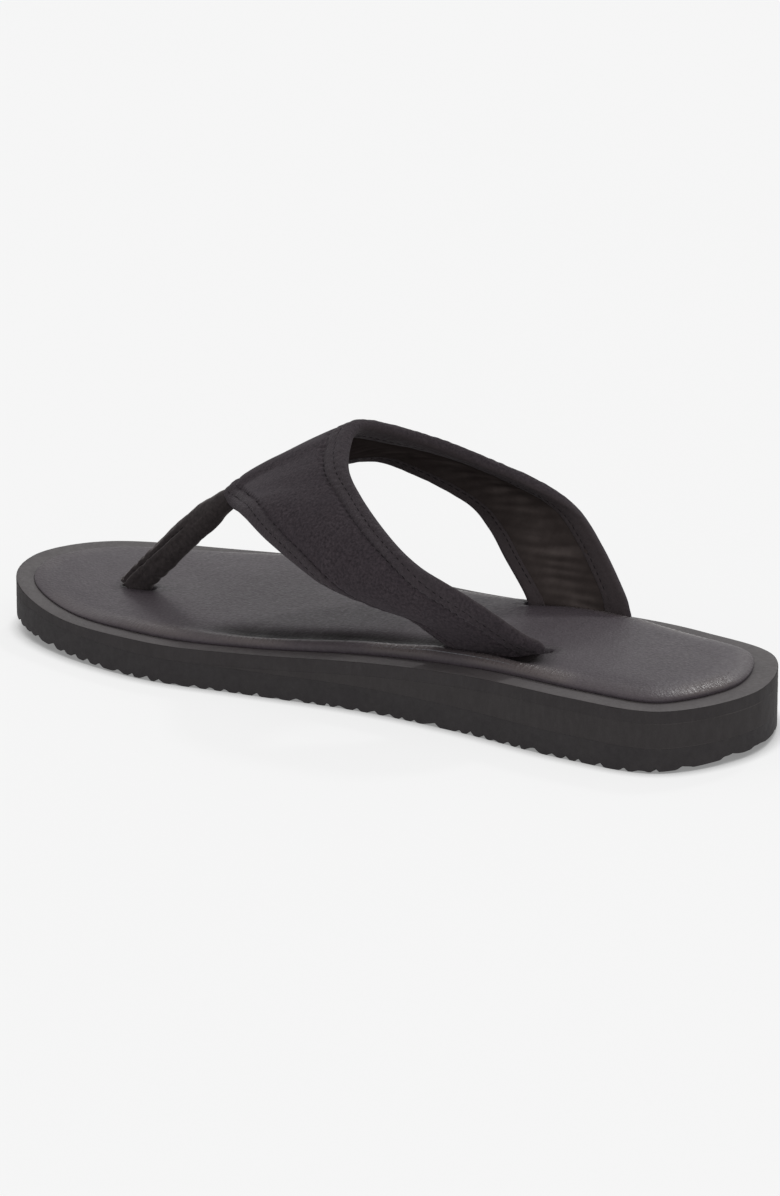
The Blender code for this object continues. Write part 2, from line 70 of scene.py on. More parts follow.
PAD_TOE, PAD_FORE, PAD_HEEL = 1.9, 2.9, 3.6
TOE_PAD_FROM, TOE_PAD_TO = -105, -60
PAD_FROM, PAD_TO = -60, 30

FRONT_EDGE = (
    (22, 34.6, 20.5), (23.5, 32.6, 24.4), (30, 22.5, 33.6), (37, 9, 37.9), (43, -3, 43.5),
    (40, -19.6, 49.5), (33, -34, 53.5), (22, -44.5, 50.8), (12.5, -53.5, 48.0), (8.7, -58, 48.8),
    (4.5, -54, 50), (-14, -46, 53.5), (-34, -34.5, 56), (-41, -20, 51.7), (-44, -2.5, 44.4),
    (-39.8, 9.4, 38.3), (-33, 20.1, 31.9), (-26.6, 31.5, 24.5), (-25.6, 34.2, 20.5),
)
REAR_EDGE = (
    (15.8, 67.8, 20.5), (17, 67.0, 25), (23, 63.5, 29.3), (33.5, 53, 40.6), (38, 39.5, 48.8),
    (35.5, 24.8, 55.8), (26, 5.6, 65), (16, -6.5, 72), (-2.6, -14, 78), (-21.5, -6.5, 71),
    (-31, 6.5, 64.7), (-40.5, 25.5, 56.2), (-43.3, 40.1, 49.4), (-39, 52.5, 40.4),
    (-32.3, 64.7, 29.8), (-30.3, 68.2, 24.8), (-29.8, 69.3, 20.5),
)
POST_BASE = (12.6, -91.6, 14.4)
POST_FOOT = (12.5, -89.4, 17.4)
POST_MIDDLE = (10.8, -73.5, 33.8)
POST_TOP = (9.0, -58.7, 47.7)
POST_WIDTH = 9.6
POST_DEPTH = 6.4
STRAP_CROWN = 2.8
CROWN_SKEW = 0.5
CROWN_AT_ROOTS = 0.85
SHELL_RADIUS = 2.1

# --- detail of the visible surfaces (mm, and shares where no unit fits) ---

CURVE_STEPS = 80
RIPPLE_WAVES = 14
WELD_DISTANCE = 0.002

SOLE_POINTS = 1000
SOLE_HALF_LENGTH = 133
SOLE_ACROSS = 26
SIDE_LEVELS = (0.03, 0.2, 0.35, 0.5, 0.65, 0.8, 0.97)
SIDE_ROUGHNESS = 0.03
WEDGE_FROM = -50
LAYER_BEVEL = 0.07
RIM_BEVEL = 0.35
SHARP_ANGLE = 40
TREAD_PITCH = 5.6
TREAD_DEPTH = 1.25
TREAD_BOW, TREAD_BOW_WIDTH = 1.3, 23
NOTCH_WIDTH = 1.7
GLUE_FROM, GLUE_FADE = 104, 30
ANCHOR_ROOM = 0.35
UPWARD = 0.75

COVER_POINTS = 900
COVER_ACROSS = 32
COVER_THICKNESS = 0.55
OUTLINE_SAMPLES = 3600
ROLL_STEPS = 19
ROLL_RADIUS = 4.6
ROLL_UNDERCUT = 0.3
ROLL_LEVEL = 0.22
ROLL_START = 0.05
HEM_WIDTH = 7.5
STRAP_SLIT_HALF = 2.3
POST_SLIT_HALF, POST_SLIT_REACH = 2.9, 3.6
SLIT_FINE_REACH = 5.5
SLIT_MARGIN = 1.2
FOOTBED_CROWN, FOOTBED_CROWN_REACH = 0.45, 26
TOE_DIP, TOE_SLOPE_WIDTH = 0.7, 13.0
TOE_PART_FROM, TOE_PART_TO = -108, -40
HEEL_DIP, HEEL_SLOPE_WIDTH = 1.3, 10.5
HEEL_PART_FROM, HEEL_PART_TO = 55, 92
HEEL_LATERAL_DIP = 0.2
VALLEY_DEPTH = 1.7
VALLEY_INSIDE, VALLEY_WANDER = 7.6, 0.7
VALLEY_OUTER_WIDTH, VALLEY_INNER_WIDTH = 3.0, 4.8
ROOT_SWELL, ROOT_SWELL_REACH = 0.55, 8
SLIT_LIP = 0.12
PUCKER_DEPTH, PUCKER_COUNT = 0.05, 17
PLEAT_DEPTH, PLEAT_PITCH = 0.085, 2.1
LAYER_POINTS = 360
LAYER_ACROSS = 48
THINNEST_LAYER = 0.06
BOARD = (0.1, 0.6)
BOARD_INSET = 9.0
FOAM_FROM = 0.85
FOAM_INSET = 1.6
CEILING_GAP = {"board": 0.3, "cushion": 0.1}

STRAP_STEPS = 430
FACE_POINTS = 52
EDGE_POINTS = 11
FRONT_BAND, FRONT_BAND_POINTS = 6.0, 9
REAR_BAND, REAR_BAND_POINTS = 8.5, 11
FRONT_SEAM = FRONT_BAND - 1.6
REAR_SEAM = REAR_BAND - 1.8
SHELL_THICKNESS = 0.6
STITCH_PITCH = 2.7
OUTER_ROW, OUTER_ROW_PULL = 3.9, (0.12, 0.2)
INNER_ROW, INNER_ROW_PULL = 8.0, (0.3, 0.62)
BAND_SEAM_PULL = (0.1, 0.15)
ROW_SWELL = 0.18
NECK_SWELL = 0.5
THREAD_PROUD = -0.08
STITCH_TAPER = (0.45, 0.9, 1, 0.9, 0.45)
ROOT_STEPS = 14
LINING_ACROSS = 34
WRINKLE_PITCH = 5.2

POST_END = (7.3, -52.3, 52.0)
POST_WALL = 0.8
POST_STEPS, POST_SIDES = 150, 84
POST_SEAM_START, POST_SEAM_TURN = -42, 30
POST_SEAM_PROFILE = ((-0.65, 0, 0.11), (0.28, 0.32, 0.2), (0.18, -0.28, 0.16))

# --- numbers stored on the meshes for their materials ---

GLUE_LINE = "glue_line"
STRAP_BAND = "strap_band"
STRAP_INSIDE = "strap_inside"
PLEAT_PLACE = "pleat_place"
PLEAT_AND_HIGHLIGHT = "pleat_and_highlight"
FOOTBED_SHADE = "footbed_shade"
LINING_FOLD_SHADE = "lining_fold_shade"


# --- curves and heights ---

def shares(count):
    """Evenly spaced numbers from 0 to 1."""
    return np.linspace(0, 1, count)


def path_lengths(path):
    """Length along a line of points, from its first point to each of them."""
    return np.concatenate([[0], np.cumsum(np.linalg.norm(np.diff(path, axis=0), axis=1))])


def smooth_curve(points, count, closed=False):
    """Points spaced evenly by length along a Catmull-Rom curve through the given points."""
    knots = np.array(points, dtype=float)
    if closed:
        padded = np.vstack([knots[-1:], knots, knots[:2]])
    else:
        padded = np.vstack([2 * knots[0] - knots[1], knots, 2 * knots[-1] - knots[-2]])
    t = np.linspace(0, 1, CURVE_STEPS, endpoint=False)[:, None]
    dense = []
    for i in range(len(padded) - 3):
        a, b, c, d = padded[i:i + 4]
        bend = (c - a) * t + (2 * a - 5 * b + 4 * c - d) * t ** 2 + (3 * b - a - 3 * c + d) * t ** 3
        dense.append(b + 0.5 * bend)
    dense = np.vstack(dense + [padded[-2:-1]])
    lengths = path_lengths(dense)
    targets = np.linspace(0, lengths[-1], count, endpoint=not closed)
    return np.column_stack([np.interp(targets, lengths, column) for column in dense.T])


def unit(vectors):
    return vectors / np.linalg.norm(vectors, axis=-1, keepdims=True)


def outline_ring(inset, count):
    """The sole outline moved inwards, from the toe tip round the medial side."""
    ring = smooth_curve(OUTLINE, count, closed=True)
    along = unit(np.roll(ring, -1, axis=0) - np.roll(ring, 1, axis=0))
    return ring + np.column_stack([-along[:, 1], along[:, 0]]) * np.reshape(inset, (-1, 1))


def pad_ring(inset, count):
    """The footbed's border moved inwards."""
    return outline_ring(rim_width(outline_ring(0, count)[:, 1]) + inset, count)


def ease(value, low, high):
    """0 up to low, 1 from high on, and a smooth step between them."""
    t = np.clip((value - low) / (high - low), 0, 1)
    return t * t * (3 - 2 * t)


def bell(value, centre, width):
    return np.exp(-((value - centre) / width) ** 2)


def sweep(y, start, end, height, power):
    """Height that grows from 0 at the line y = start to its full value at y = end."""
    return height * np.clip((y - start) / (end - start), 0, None) ** power


def ground_height(y):
    return sweep(y, TOE_SPRING_FROM, TOE_END, TOE_SPRING, TOE_SPRING_POWER)


def tread_height(y):
    """The lowest surface of the outsole: it follows the toe spring and is bevelled at the heel."""
    return ground_height(y) + sweep(y, HEEL_BEVEL_FROM, HEEL_END, HEEL_BEVEL, 2)


def outsole_top(y):
    return ground_height(y) + OUTSOLE_THICKNESS


def midsole_bottom(y):
    return outsole_top(y) + WEDGE_HEIGHT * ease(y, LIFT_FROM, LIFT_TO)


def rim_height(y):
    lift = HEEL_LIFT * ease(y, LIFT_FROM, LIFT_TO)
    thinning = TOE_THINNING * bell(y, TOE_THIN_AT, TOE_THIN_WIDTH)
    return ground_height(y) + FOREFOOT_THICKNESS + lift - thinning


def pad_height(y):
    """Height of the footbed's top above the rim, before its crown and hollows."""
    fore = PAD_TOE + (PAD_FORE - PAD_TOE) * ease(y, TOE_PAD_FROM, TOE_PAD_TO)
    return fore + (PAD_HEEL - PAD_FORE) * ease(y, PAD_FROM, PAD_TO)


def rim_width(y):
    return RIM_FORE + (RIM_HEEL - RIM_FORE) * ease(y, RIM_FROM, RIM_TO)


def ripple(u, v, size, seed):
    """Smooth random waves in two directions, between about -1 and 1; size is the usual wavelength."""
    random = np.random.default_rng(SEED + seed)
    total = np.zeros(np.broadcast(u, v).shape)
    for _ in range(RIPPLE_WAVES):
        turn = random.uniform(0, math.pi)
        step = math.tau / (size * random.uniform(0.6, 1.7))
        phase = random.uniform(0, math.tau)
        total += np.sin(step * (u * math.cos(turn) + v * math.sin(turn)) + phase)
    return total * math.sqrt(2 / RIPPLE_WAVES) * 0.6


# --- meshes ---

@contextmanager
def editing(mesh):
    """A mesh opened for editing; what was changed is written back at the end."""
    bm = bmesh.new()
    bm.from_mesh(mesh)
    yield bm
    bm.to_mesh(mesh)
    bm.free()


def add_to_scene(name, data):
    obj = bpy.data.objects.new(name, data)
    bpy.context.scene.collection.objects.link(obj)
    return obj


def piece(name, points, faces, material, replaces=(), sharp=None):
    """A mesh piece from millimetre points; it rides on the one body and takes its material."""
    placed = (np.asarray(points, dtype=float) - BOX_CENTRE) * MM
    mesh = bpy.data.meshes.new(name)
    mesh.from_pydata(placed.tolist(), [], [tuple(int(v) for v in face) for face in faces])
    mesh.validate()
    with editing(mesh) as bm:
        bmesh.ops.recalc_face_normals(bm, faces=bm.faces)
    mesh.shade_smooth()
    if sharp:
        mesh.set_sharp_from_angle(angle=math.radians(sharp))
    mesh.materials.append(material)
    obj = add_to_scene(name, mesh)
    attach(obj, "root")
    if replaces:
        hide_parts(*replaces)
    return obj


def grid_faces(rows, columns, offset=0, wrap=False):
    """Quads of a grid of points stored row by row; wrap joins the last column to the first."""
    i, k = np.meshgrid(np.arange(rows - 1), np.arange(columns if wrap else columns - 1), indexing="ij")
    a = i * columns + k
    b = i * columns + (k + 1) % columns
    quads = np.stack([a, b, b + columns, a + columns], axis=-1).reshape(-1, 4)
    return (quads + offset).tolist()


def tube_faces(rings, sides, offset=0):
    """Faces of a closed tube of rings of points: its wall and both ends."""
    last = offset + (rings - 1) * sides
    ends = [list(range(offset, offset + sides))[::-1], list(range(last, last + sides))]
    return grid_faces(rings, sides, offset, wrap=True) + ends


def ring_rows(ring, across, is_cut=False):
    """Rows from the medial to the lateral side of a ring; each tip that isn't cut is one point."""
    half = len(ring) // 2
    share = shares(across + 1)[:, None]
    rows = [] if is_cut else [ring[:1]]
    first = len(rows)
    for i in range(first, half):
        rows.append(ring[i] + (ring[first - 1 - i] - ring[i]) * share)
    return rows + [ring[half:half + 1]]


def row_faces(rows, offset=0):
    """Faces between neighbouring rows of points; a row may be a single point."""
    counts = [len(row) for row in rows]
    starts = np.concatenate([[0], np.cumsum(counts)]) + offset
    faces = []
    for i in range(len(counts) - 1):
        a, b = starts[i], starts[i + 1]
        for k in range(max(counts[i], counts[i + 1]) - 1):
            near = [a] if counts[i] == 1 else [a + k, a + k + 1]
            far = [b] if counts[i + 1] == 1 else [b + k + 1, b + k]
            faces.append(near + far)
    return faces


def weld(obj):
    """Joins points that lie together, such as where a grid meets its border."""
    with editing(obj.data) as bm:
        bmesh.ops.remove_doubles(bm, verts=bm.verts, dist=WELD_DISTANCE * MM)
        bmesh.ops.recalc_face_normals(bm, faces=bm.faces)


def add_thickness(obj, thickness):
    """Makes a wall of the given thickness out of a skin, inwards."""
    solid = obj.modifiers.new("thickness", "SOLIDIFY")
    solid.thickness = thickness * MM
    solid.offset = -1


def store(mesh, name, values):
    """Keeps a number for each point of a mesh."""
    mesh.attributes.new(name, "FLOAT", "POINT").data.foreach_set("value", np.ravel(values))


def mesh_points(mesh):
    """Millimetre coordinates of a mesh's points, as three rows."""
    co = np.zeros(len(mesh.vertices) * 3)
    mesh.vertices.foreach_get("co", co)
    return (co.reshape(-1, 3) / MM + BOX_CENTRE).T


def set_heights(mesh, z):
    """Moves a mesh's points to the given millimetre heights."""
    x, y, _ = mesh_points(mesh)
    co = (np.column_stack([x, y, z]) - BOX_CENTRE) * MM
    mesh.vertices.foreach_set("co", co.ravel())
    mesh.update()


# --- materials ---

class Nodes:
    """A Principled material with short calls for its colour, roughness and bump nodes."""

    def __init__(self, name, roughness, specular=0.3):
        self.material = bpy.data.materials.new(name)
        self.material.use_nodes = True
        self.tree = self.material.node_tree
        self.shader = self.tree.nodes["Principled BSDF"]
        self.set(Roughness=roughness, Specular_IOR_Level=specular)
        self.place = self.node("ShaderNodeTexCoord").outputs["Object"]
        self.normal = None

    def feed(self, socket, value):
        if isinstance(value, bpy.types.NodeSocket):
            self.tree.links.new(value, socket)
        else:
            socket.default_value = value

    def feed_all(self, sockets, values):
        for label, value in values.items():
            self.feed(sockets[label.replace("_", " ")], value)

    def set(self, **values):
        self.feed_all(self.shader.inputs, values)

    def node(self, kind, **inputs):
        node = self.tree.nodes.new(kind)
        self.feed_all(node.inputs, inputs)
        return node

    def value(self, name, share=None):
        """The number stored on the mesh's points under a name, or a share of it."""
        node = self.node("ShaderNodeAttribute")
        node.attribute_name = name
        number = node.outputs["Fac"]
        return number if share is None else self.math("MULTIPLY", number, share)

    def stretched(self, scale):
        return self.node("ShaderNodeMapping", Vector=self.place, Scale=scale).outputs["Vector"]

    def noise(self, size, detail=2.0, roughness=0.5, place=None):
        """Noise whose blobs are about size millimetres wide."""
        node = self.node("ShaderNodeTexNoise", Vector=place or self.place, Scale=1 / (size * MM),
                         Detail=detail, Roughness=roughness)
        return node.outputs["Fac"]

    def cells(self, size, smooth=None):
        """Distance from the middles of cells about size millimetres wide."""
        node = self.node("ShaderNodeTexVoronoi", Vector=self.place, Scale=1 / (size * MM))
        if smooth is not None:
            node.feature = "SMOOTH_F1"
            node.inputs["Smoothness"].default_value = smooth
        return node.outputs["Distance"]

    def levels(self, value, to_low, to_high, low=0.3, high=0.7):
        """A value stretched from the range low to high to another range."""
        node = self.node("ShaderNodeMapRange", Value=value, From_Min=low, From_Max=high,
                         To_Min=to_low, To_Max=to_high)
        return node.outputs["Result"]

    def math(self, operation, a, b):
        node = self.node("ShaderNodeMath")
        node.operation = operation
        self.feed(node.inputs[0], a)
        self.feed(node.inputs[1], b)
        return node.outputs[0]

    def colours(self, factor, first, last, low=0.3, high=0.7):
        """A ramp from the first colour, where factor is low, to the last one."""
        ramp = self.node("ShaderNodeValToRGB", Fac=factor)
        for element, position, colour in zip(ramp.color_ramp.elements, (low, high), (first, last)):
            element.position = position
            element.color = (*colour, 1)
        return ramp.outputs["Color"]

    def blend(self, factor, linked, colour):
        """A mix of a linked colour and a plain one."""
        mix = self.node("ShaderNodeMix")
        mix.data_type = "RGBA"
        for index, value in ((0, factor), (6, linked), (7, (*colour, 1))):
            self.feed(mix.inputs[index], value)
        return mix.outputs[2]

    def bump(self, height, depth, strength=1.0):
        """Adds a bump of depth millimetres on top of the bumps so far."""
        node = self.node("ShaderNodeBump", Height=height, Distance=depth * MM, Strength=strength)
        if self.normal is not None:
            self.feed(node.inputs["Normal"], self.normal)
        self.normal = node.outputs["Normal"]
        self.set(Normal=self.normal)

    def base(self, colour):
        self.set(Base_Color=colour)

    def rough(self, value):
        self.set(Roughness=value)


def strap_fabric_material():
    """Matte stretch fabric with a fine heather, slightly violet black."""
    m = Nodes("strap fabric", 0.92, 0.1)
    m.set(Sheen_Weight=0.06, Sheen_Roughness=0.5, Sheen_Tint=(0.78, 0.72, 0.78, 1))
    heather = m.noise(0.9, 4, 0.7)
    patches = m.noise(9, 3, 0.55)
    fine = m.colours(heather, (0.0126, 0.0098, 0.0118), (0.0428, 0.0344, 0.0392), 0.32, 0.68)
    plain = m.blend(m.levels(patches, 0.0, 0.4, 0.35, 0.65), fine, (0.0248, 0.0201, 0.0239))
    lighter = m.blend(m.value(STRAP_BAND, 0.35), plain, (0.05, 0.043, 0.0462))
    m.base(m.blend(m.value(STRAP_INSIDE, 0.75), lighter, (0.033, 0.0268, 0.0272)))
    m.bump(m.cells(0.55, 0.5), 0.1, 0.6)
    m.bump(m.noise(1.4, 3, 0.6), 0.22, 0.7)
    stipple = m.math("MULTIPLY", m.noise(1.5, 4, 0.7), m.value(STRAP_BAND))
    m.bump(stipple, 1.0)
    return m.material


def post_fabric_material():
    """Velvety, browner fabric of the toe post."""
    m = Nodes("toe post fabric", 0.95, 0.18)
    m.set(Sheen_Weight=0.22, Sheen_Roughness=0.4, Sheen_Tint=(0.8, 0.72, 0.72, 1))
    nap = m.noise(1.1, 4, 0.65)
    m.base(m.colours(nap, (0.0122, 0.0098, 0.0101), (0.0305, 0.025, 0.0255), 0.3, 0.72))
    m.bump(m.noise(0.6, 3, 0.6), 0.12, 0.6)
    m.bump(m.noise(2.4), 0.2, 0.5)
    return m.material


def lining_material():
    """Thin satin lining, warm brown black, with painted shade between its folds and a painted shadow under
    the strap's apex.
    """
    m = Nodes("strap lining", 0.62, 0.0)
    tone = m.noise(6, 4, 0.6)
    satin = m.colours(tone, (0.05, 0.0405, 0.0385), (0.078, 0.0645, 0.061))
    # painted shade in the fold hollows and painted shadow under the apex
    m.base(m.blend(m.value(LINING_FOLD_SHADE, 0.68), satin, (0.01, 0.0074, 0.007)))
    m.rough(m.levels(m.noise(2.5, 3, 0.6), 0.52, 0.72))
    m.bump(m.noise(0.5), 0.06, 0.6)
    return m.material


def footbed_material():
    """Matte synthetic leather: fine pebble grain, soft polish, pleats in from its rolled edge, a painted
    highlight on that roll, and painted shade in the hollow beside its medial edge and round its slits.
    """
    m = Nodes("footbed leather", 0.5, 0.2)
    wear = m.noise(26, 4, 0.6)
    mottle = m.noise(1.3, 4, 0.75)
    base = m.colours(wear, (0.0505, 0.0415, 0.0485), (0.0625, 0.0522, 0.06))
    worn = m.blend(m.levels(mottle, 0.0, 0.65, 0.35, 0.65), base, (0.035, 0.0287, 0.0328))
    # painted highlight: the pleated roll is coloured lighter where light catches it
    edge = m.blend(m.value(PLEAT_AND_HIGHLIGHT, 0.6), worn, (0.095, 0.08, 0.0765))
    # painted shade and shadow from the footbed_shade values, in the hollow and round the slits
    m.base(m.blend(m.value(FOOTBED_SHADE), edge, (0.0075, 0.0058, 0.0062)))
    polish = m.value(PLEAT_AND_HIGHLIGHT, 0.18)
    m.rough(m.math("SUBTRACT", m.levels(m.noise(1.2, 3, 0.6), 0.4, 0.58), polish))
    m.bump(m.cells(0.9, 0.4), 0.12, 0.55)
    m.bump(m.noise(0.45), 0.05, 0.5)
    place = m.node("ShaderNodeAttribute")
    place.attribute_name = PLEAT_PLACE
    pleats = m.noise(0.85, 3, 0.6, place.outputs["Vector"])
    m.bump(m.math("MULTIPLY", pleats, m.value(PLEAT_AND_HIGHLIGHT)), 0.42, 0.9)
    return m.material


def foam_material(name, low, high):
    """Buffed sole foam: matte, with fine pores and faint upright scuffs."""
    m = Nodes(name, 0.85)
    tone = m.noise(11, 6, 0.7)
    scuff = m.noise(2.2, 5, 0.7, m.stretched((1.0, 1.0, 0.45)))
    base = m.colours(tone, low, high)
    worn = tuple(1.35 * channel for channel in high)
    plain = m.blend(m.levels(scuff, 0.0, 0.2, 0.5, 0.8), base, worn)
    m.base(m.blend(m.value(GLUE_LINE, 0.5), plain, (0.065, 0.058, 0.057)))
    m.rough(m.levels(scuff, 0.92, 0.78))
    m.bump(m.noise(0.5, 3, 0.6), 0.1, 0.6)
    m.bump(m.noise(2.5, 3, 0.6), 0.15, 0.4)
    return m.material


def lit_skin_material():
    """The moulded skin on top of the sole's rim: smoother than its buffed sides, and painted lighter as if
    lit from above.
    """
    m = Nodes("sole skin painted lit", 0.6, 0.25)
    tone = m.noise(9, 5, 0.65)
    # painted top light: the rim's top is a lighter, lit copy of the side foam's colour
    m.base(m.colours(tone, (0.0535, 0.0472, 0.0485), (0.0682, 0.061, 0.062)))
    m.rough(m.levels(m.noise(1.5, 4, 0.6), 0.52, 0.68))
    m.bump(m.noise(0.45, 3, 0.6), 0.06, 0.5)
    return m.material


def rubber_material():
    """Outsole rubber, a little denser than the foam above it."""
    m = Nodes("outsole rubber", 0.75)
    tone = m.noise(9, 5, 0.65)
    m.base(m.colours(tone, (0.0166, 0.0145, 0.0155), (0.0216, 0.019, 0.0198)))
    m.rough(m.levels(m.noise(2, 4, 0.6), 0.72, 0.88))
    m.bump(m.noise(0.6, 3, 0.6), 0.1, 0.5)
    return m.material


def thread_material():
    """Polyester sewing thread with a fine twist."""
    m = Nodes("sewing thread", 0.9, 0.1)
    twist = m.noise(0.25, 2, 0.6)
    m.base(m.colours(twist, (0.003, 0.0024, 0.003), (0.008, 0.0064, 0.0074)))
    m.bump(twist, 0.05, 0.5)
    return m.material


def webbing_material():
    """Woven polyester tape with a plain-weave bump."""
    m = Nodes("webbing", 0.85)
    weave = m.cells(0.8)
    m.base(m.colours(weave, (0.036, 0.034, 0.035), (0.018, 0.017, 0.018), 0.0, 0.8))
    m.bump(weave, 0.2, 0.8)
    return m.material


def board_material():
    """Pressed-fibre insole board."""
    m = Nodes("insole board", 0.9)
    fibre = m.noise(1.5, 5, 0.7, m.stretched((1.0, 0.3, 1.0)))
    m.base(m.colours(fibre, (0.2, 0.14, 0.09), (0.36, 0.27, 0.18)))
    m.bump(fibre, 0.1, 0.6)
    return m.material


def cushion_material():
    """Open-cell foam with small pores."""
    m = Nodes("cushion foam", 0.95)
    pores = m.cells(0.8)
    m.base(m.colours(pores, (0.075, 0.075, 0.08), (0.135, 0.135, 0.145), 0.0, 0.5))
    m.bump(pores, 0.3, 0.8)
    return m.material


FABRIC = strap_fabric_material()
POST_FABRIC = post_fabric_material()
LINING = lining_material()
LEATHER = footbed_material()
FOAM_SHEET = foam_material("sole foam sheet", (0.0198, 0.0171, 0.0179), (0.0252, 0.0221, 0.0229))
FOAM_WEDGE = foam_material("sole foam wedge", (0.0218, 0.019, 0.0195), (0.0272, 0.024, 0.0244))
SKIN_PAINTED_LIT = lit_skin_material()
RUBBER = rubber_material()
THREAD = thread_material()
WEBBING = webbing_material()
BOARD_MATERIAL = board_material()
CUSHION = cushion_material()


# --- sole ---

def wall_levels(bevel_top):
    """Rings of a layer's side wall from bottom to top: inset, share of its height, and lift."""
    turn = np.radians([0, 30, 60, 90])
    levels = [(LAYER_BEVEL * (1 - math.sin(a)), 0, LAYER_BEVEL * (1 - math.cos(a))) for a in turn]
    levels += [(0, share, 0) for share in SIDE_LEVELS]
    levels += [(bevel_top * (1 - math.cos(a)), 1, -bevel_top * (1 - math.sin(a))) for a in turn]
    return levels


def cut_face(level_count, ring_count, bottom, top):
    """The upright front end of a cut layer, round its border."""
    across = range(SOLE_ACROSS + 1)
    ends = [level * ring_count for level in range(level_count)]
    upwards = [end + ring_count - 1 for end in ends[1:-1]]
    return [bottom + k for k in across] + upwards + [top + k for k in reversed(across)] + ends[-2:0:-1]


def sole_layer(name, low, high, material, replaces, bevel_top=LAYER_BEVEL, start_y=None):
    """One sheet of the sole: its cut side wall with softened corners, closed above and below."""
    first = 0
    if start_y is not None:
        outline = outline_ring(0, SOLE_POINTS)
        first = int(np.argmax(outline[:SOLE_POINTS // 2, 1] > start_y))
    rings = []
    for inset, share, lift in wall_levels(bevel_top):
        ring = outline_ring(inset, SOLE_POINTS)
        if first:
            ring = ring[first:SOLE_POINTS - first + 1]
        x, y = ring.T
        z = low(y) + (high(y) - low(y)) * share + lift
        wave = SIDE_ROUGHNESS * ripple(x + y, z * 3, 5, 3) if 0 < share < 1 else 0
        rings.append(np.column_stack([ring * (1 + np.reshape(wave, (-1, 1)) / SOLE_HALF_LENGTH), z]))
    points = [np.vstack(rings)]
    faces = grid_faces(len(rings), len(rings[0]), wrap=not first)
    starts = []
    for ring, height in ((rings[0], low), (rings[-1], high)):
        starts.append(sum(len(p) for p in points))
        rows = ring_rows(ring[:, :2], SOLE_ACROSS, first > 0)
        flat = np.vstack(rows)
        points.append(np.column_stack([flat, height(flat[:, 1])]))
        faces += row_faces(rows, starts[-1])
    if first:
        faces.append(cut_face(len(rings), len(rings[0]), *starts))
    obj = piece(name, np.vstack(points), faces, material, replaces, SHARP_ANGLE)
    weld(obj)
    mark_glue_lines(obj)
    return obj


def mark_glue_lines(obj):
    """Marks the edges where the sole's layers meet, round the heel."""
    x, y, z = mesh_points(obj.data)
    gap = np.minimum(np.abs(z - outsole_top(y)), np.abs(z - midsole_bottom(y)))
    uneven = 0.35 + 0.65 * ease(ripple(x + y, z, 9, 8), -0.5, 0.5)
    near_edge = gap < 1.2 * LAYER_BEVEL
    store(obj.data, GLUE_LINE, near_edge * uneven * ease(y, GLUE_FROM, GLUE_FROM + GLUE_FADE))


def cut_pockets(obj, nodes):
    """Leaves room in obj for the webbing tabs that lie in it."""
    for node in nodes:
        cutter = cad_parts[node].copy()
        cutter.data = cutter.data.copy()
        bpy.context.scene.collection.objects.link(cutter)
        with editing(cutter.data) as bm:
            bmesh.ops.remove_doubles(bm, verts=bm.verts, dist=1e-6)
            bm.normal_update()
            for vert in bm.verts:
                vert.co += vert.normal * vert.calc_shell_factor() * ANCHOR_ROOM * MM
        modifier = obj.modifiers.new(node, "BOOLEAN")
        modifier.operation = "DIFFERENCE"
        modifier.solver = "EXACT"
        modifier.object = cutter
        apply_modifiers(obj)
        bpy.data.objects.remove(cutter)


def apply_modifiers(obj):
    """Puts the result of an object's modifiers into its mesh."""
    bpy.context.view_layer.update()
    evaluated = obj.evaluated_get(bpy.context.evaluated_depsgraph_get())
    mesh = bpy.data.meshes.new_from_object(evaluated)
    obj.modifiers.clear()
    obj.data = mesh


def tread(x, y):
    """The ripple tread's surface: bowed notches of uneven pitch and depth."""
    along = y + TREAD_BOW * np.sin(x / TREAD_BOW_WIDTH)
    along = along + 1.6 * ripple(x, y, 26, 5) + ripple(x, y, 9, 7)
    phase = (along / TREAD_PITCH) % 1 - 0.5
    depth = TREAD_DEPTH * np.clip(0.8 + 0.6 * ripple(x, y, 7, 6), 0.35, 1.2)
    notch = np.clip(1 - np.abs(phase * TREAD_PITCH) / NOTCH_WIDTH, 0, 1)
    return tread_height(y) + depth * notch


def build_outsole():
    """Rubber outsole with a rippled underside, uneven as cut from sheet."""
    obj = sole_layer("outsole_ripple", tread_height, outsole_top, RUBBER, ["outsole"])
    x, y, z = mesh_points(obj.data)
    base = tread_height(y)
    share = np.clip(1 - (z - base) / (0.5 * OUTSOLE_THICKNESS), 0, 1)
    set_heights(obj.data, z + (tread(x, y) - base) * share)


def build_sole():
    build_outsole()
    sole_layer("heel_wedge_foam", outsole_top, midsole_bottom, FOAM_WEDGE, ["heel_wedge"],
               start_y=WEDGE_FROM)
    midsole = sole_layer("midsole_sheet", midsole_bottom, rim_height, FOAM_SHEET,
                         ["midsole"], RIM_BEVEL)
    cut_pockets(midsole, [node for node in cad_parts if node.endswith("_anchor")])
    paint_lit_skin_top(midsole)


def paint_lit_skin_top(obj):
    """Gives the upward faces of the midsole its moulded skin, painted lighter as top light."""
    obj.data.materials.append(SKIN_PAINTED_LIT)
    for face in obj.data.polygons:
        x, y, z = np.array(face.center) / MM + BOX_CENTRE
        if face.normal.z > UPWARD and z > rim_height(y) - RIM_BEVEL:
            face.material_index = 1


# --- footbed ---

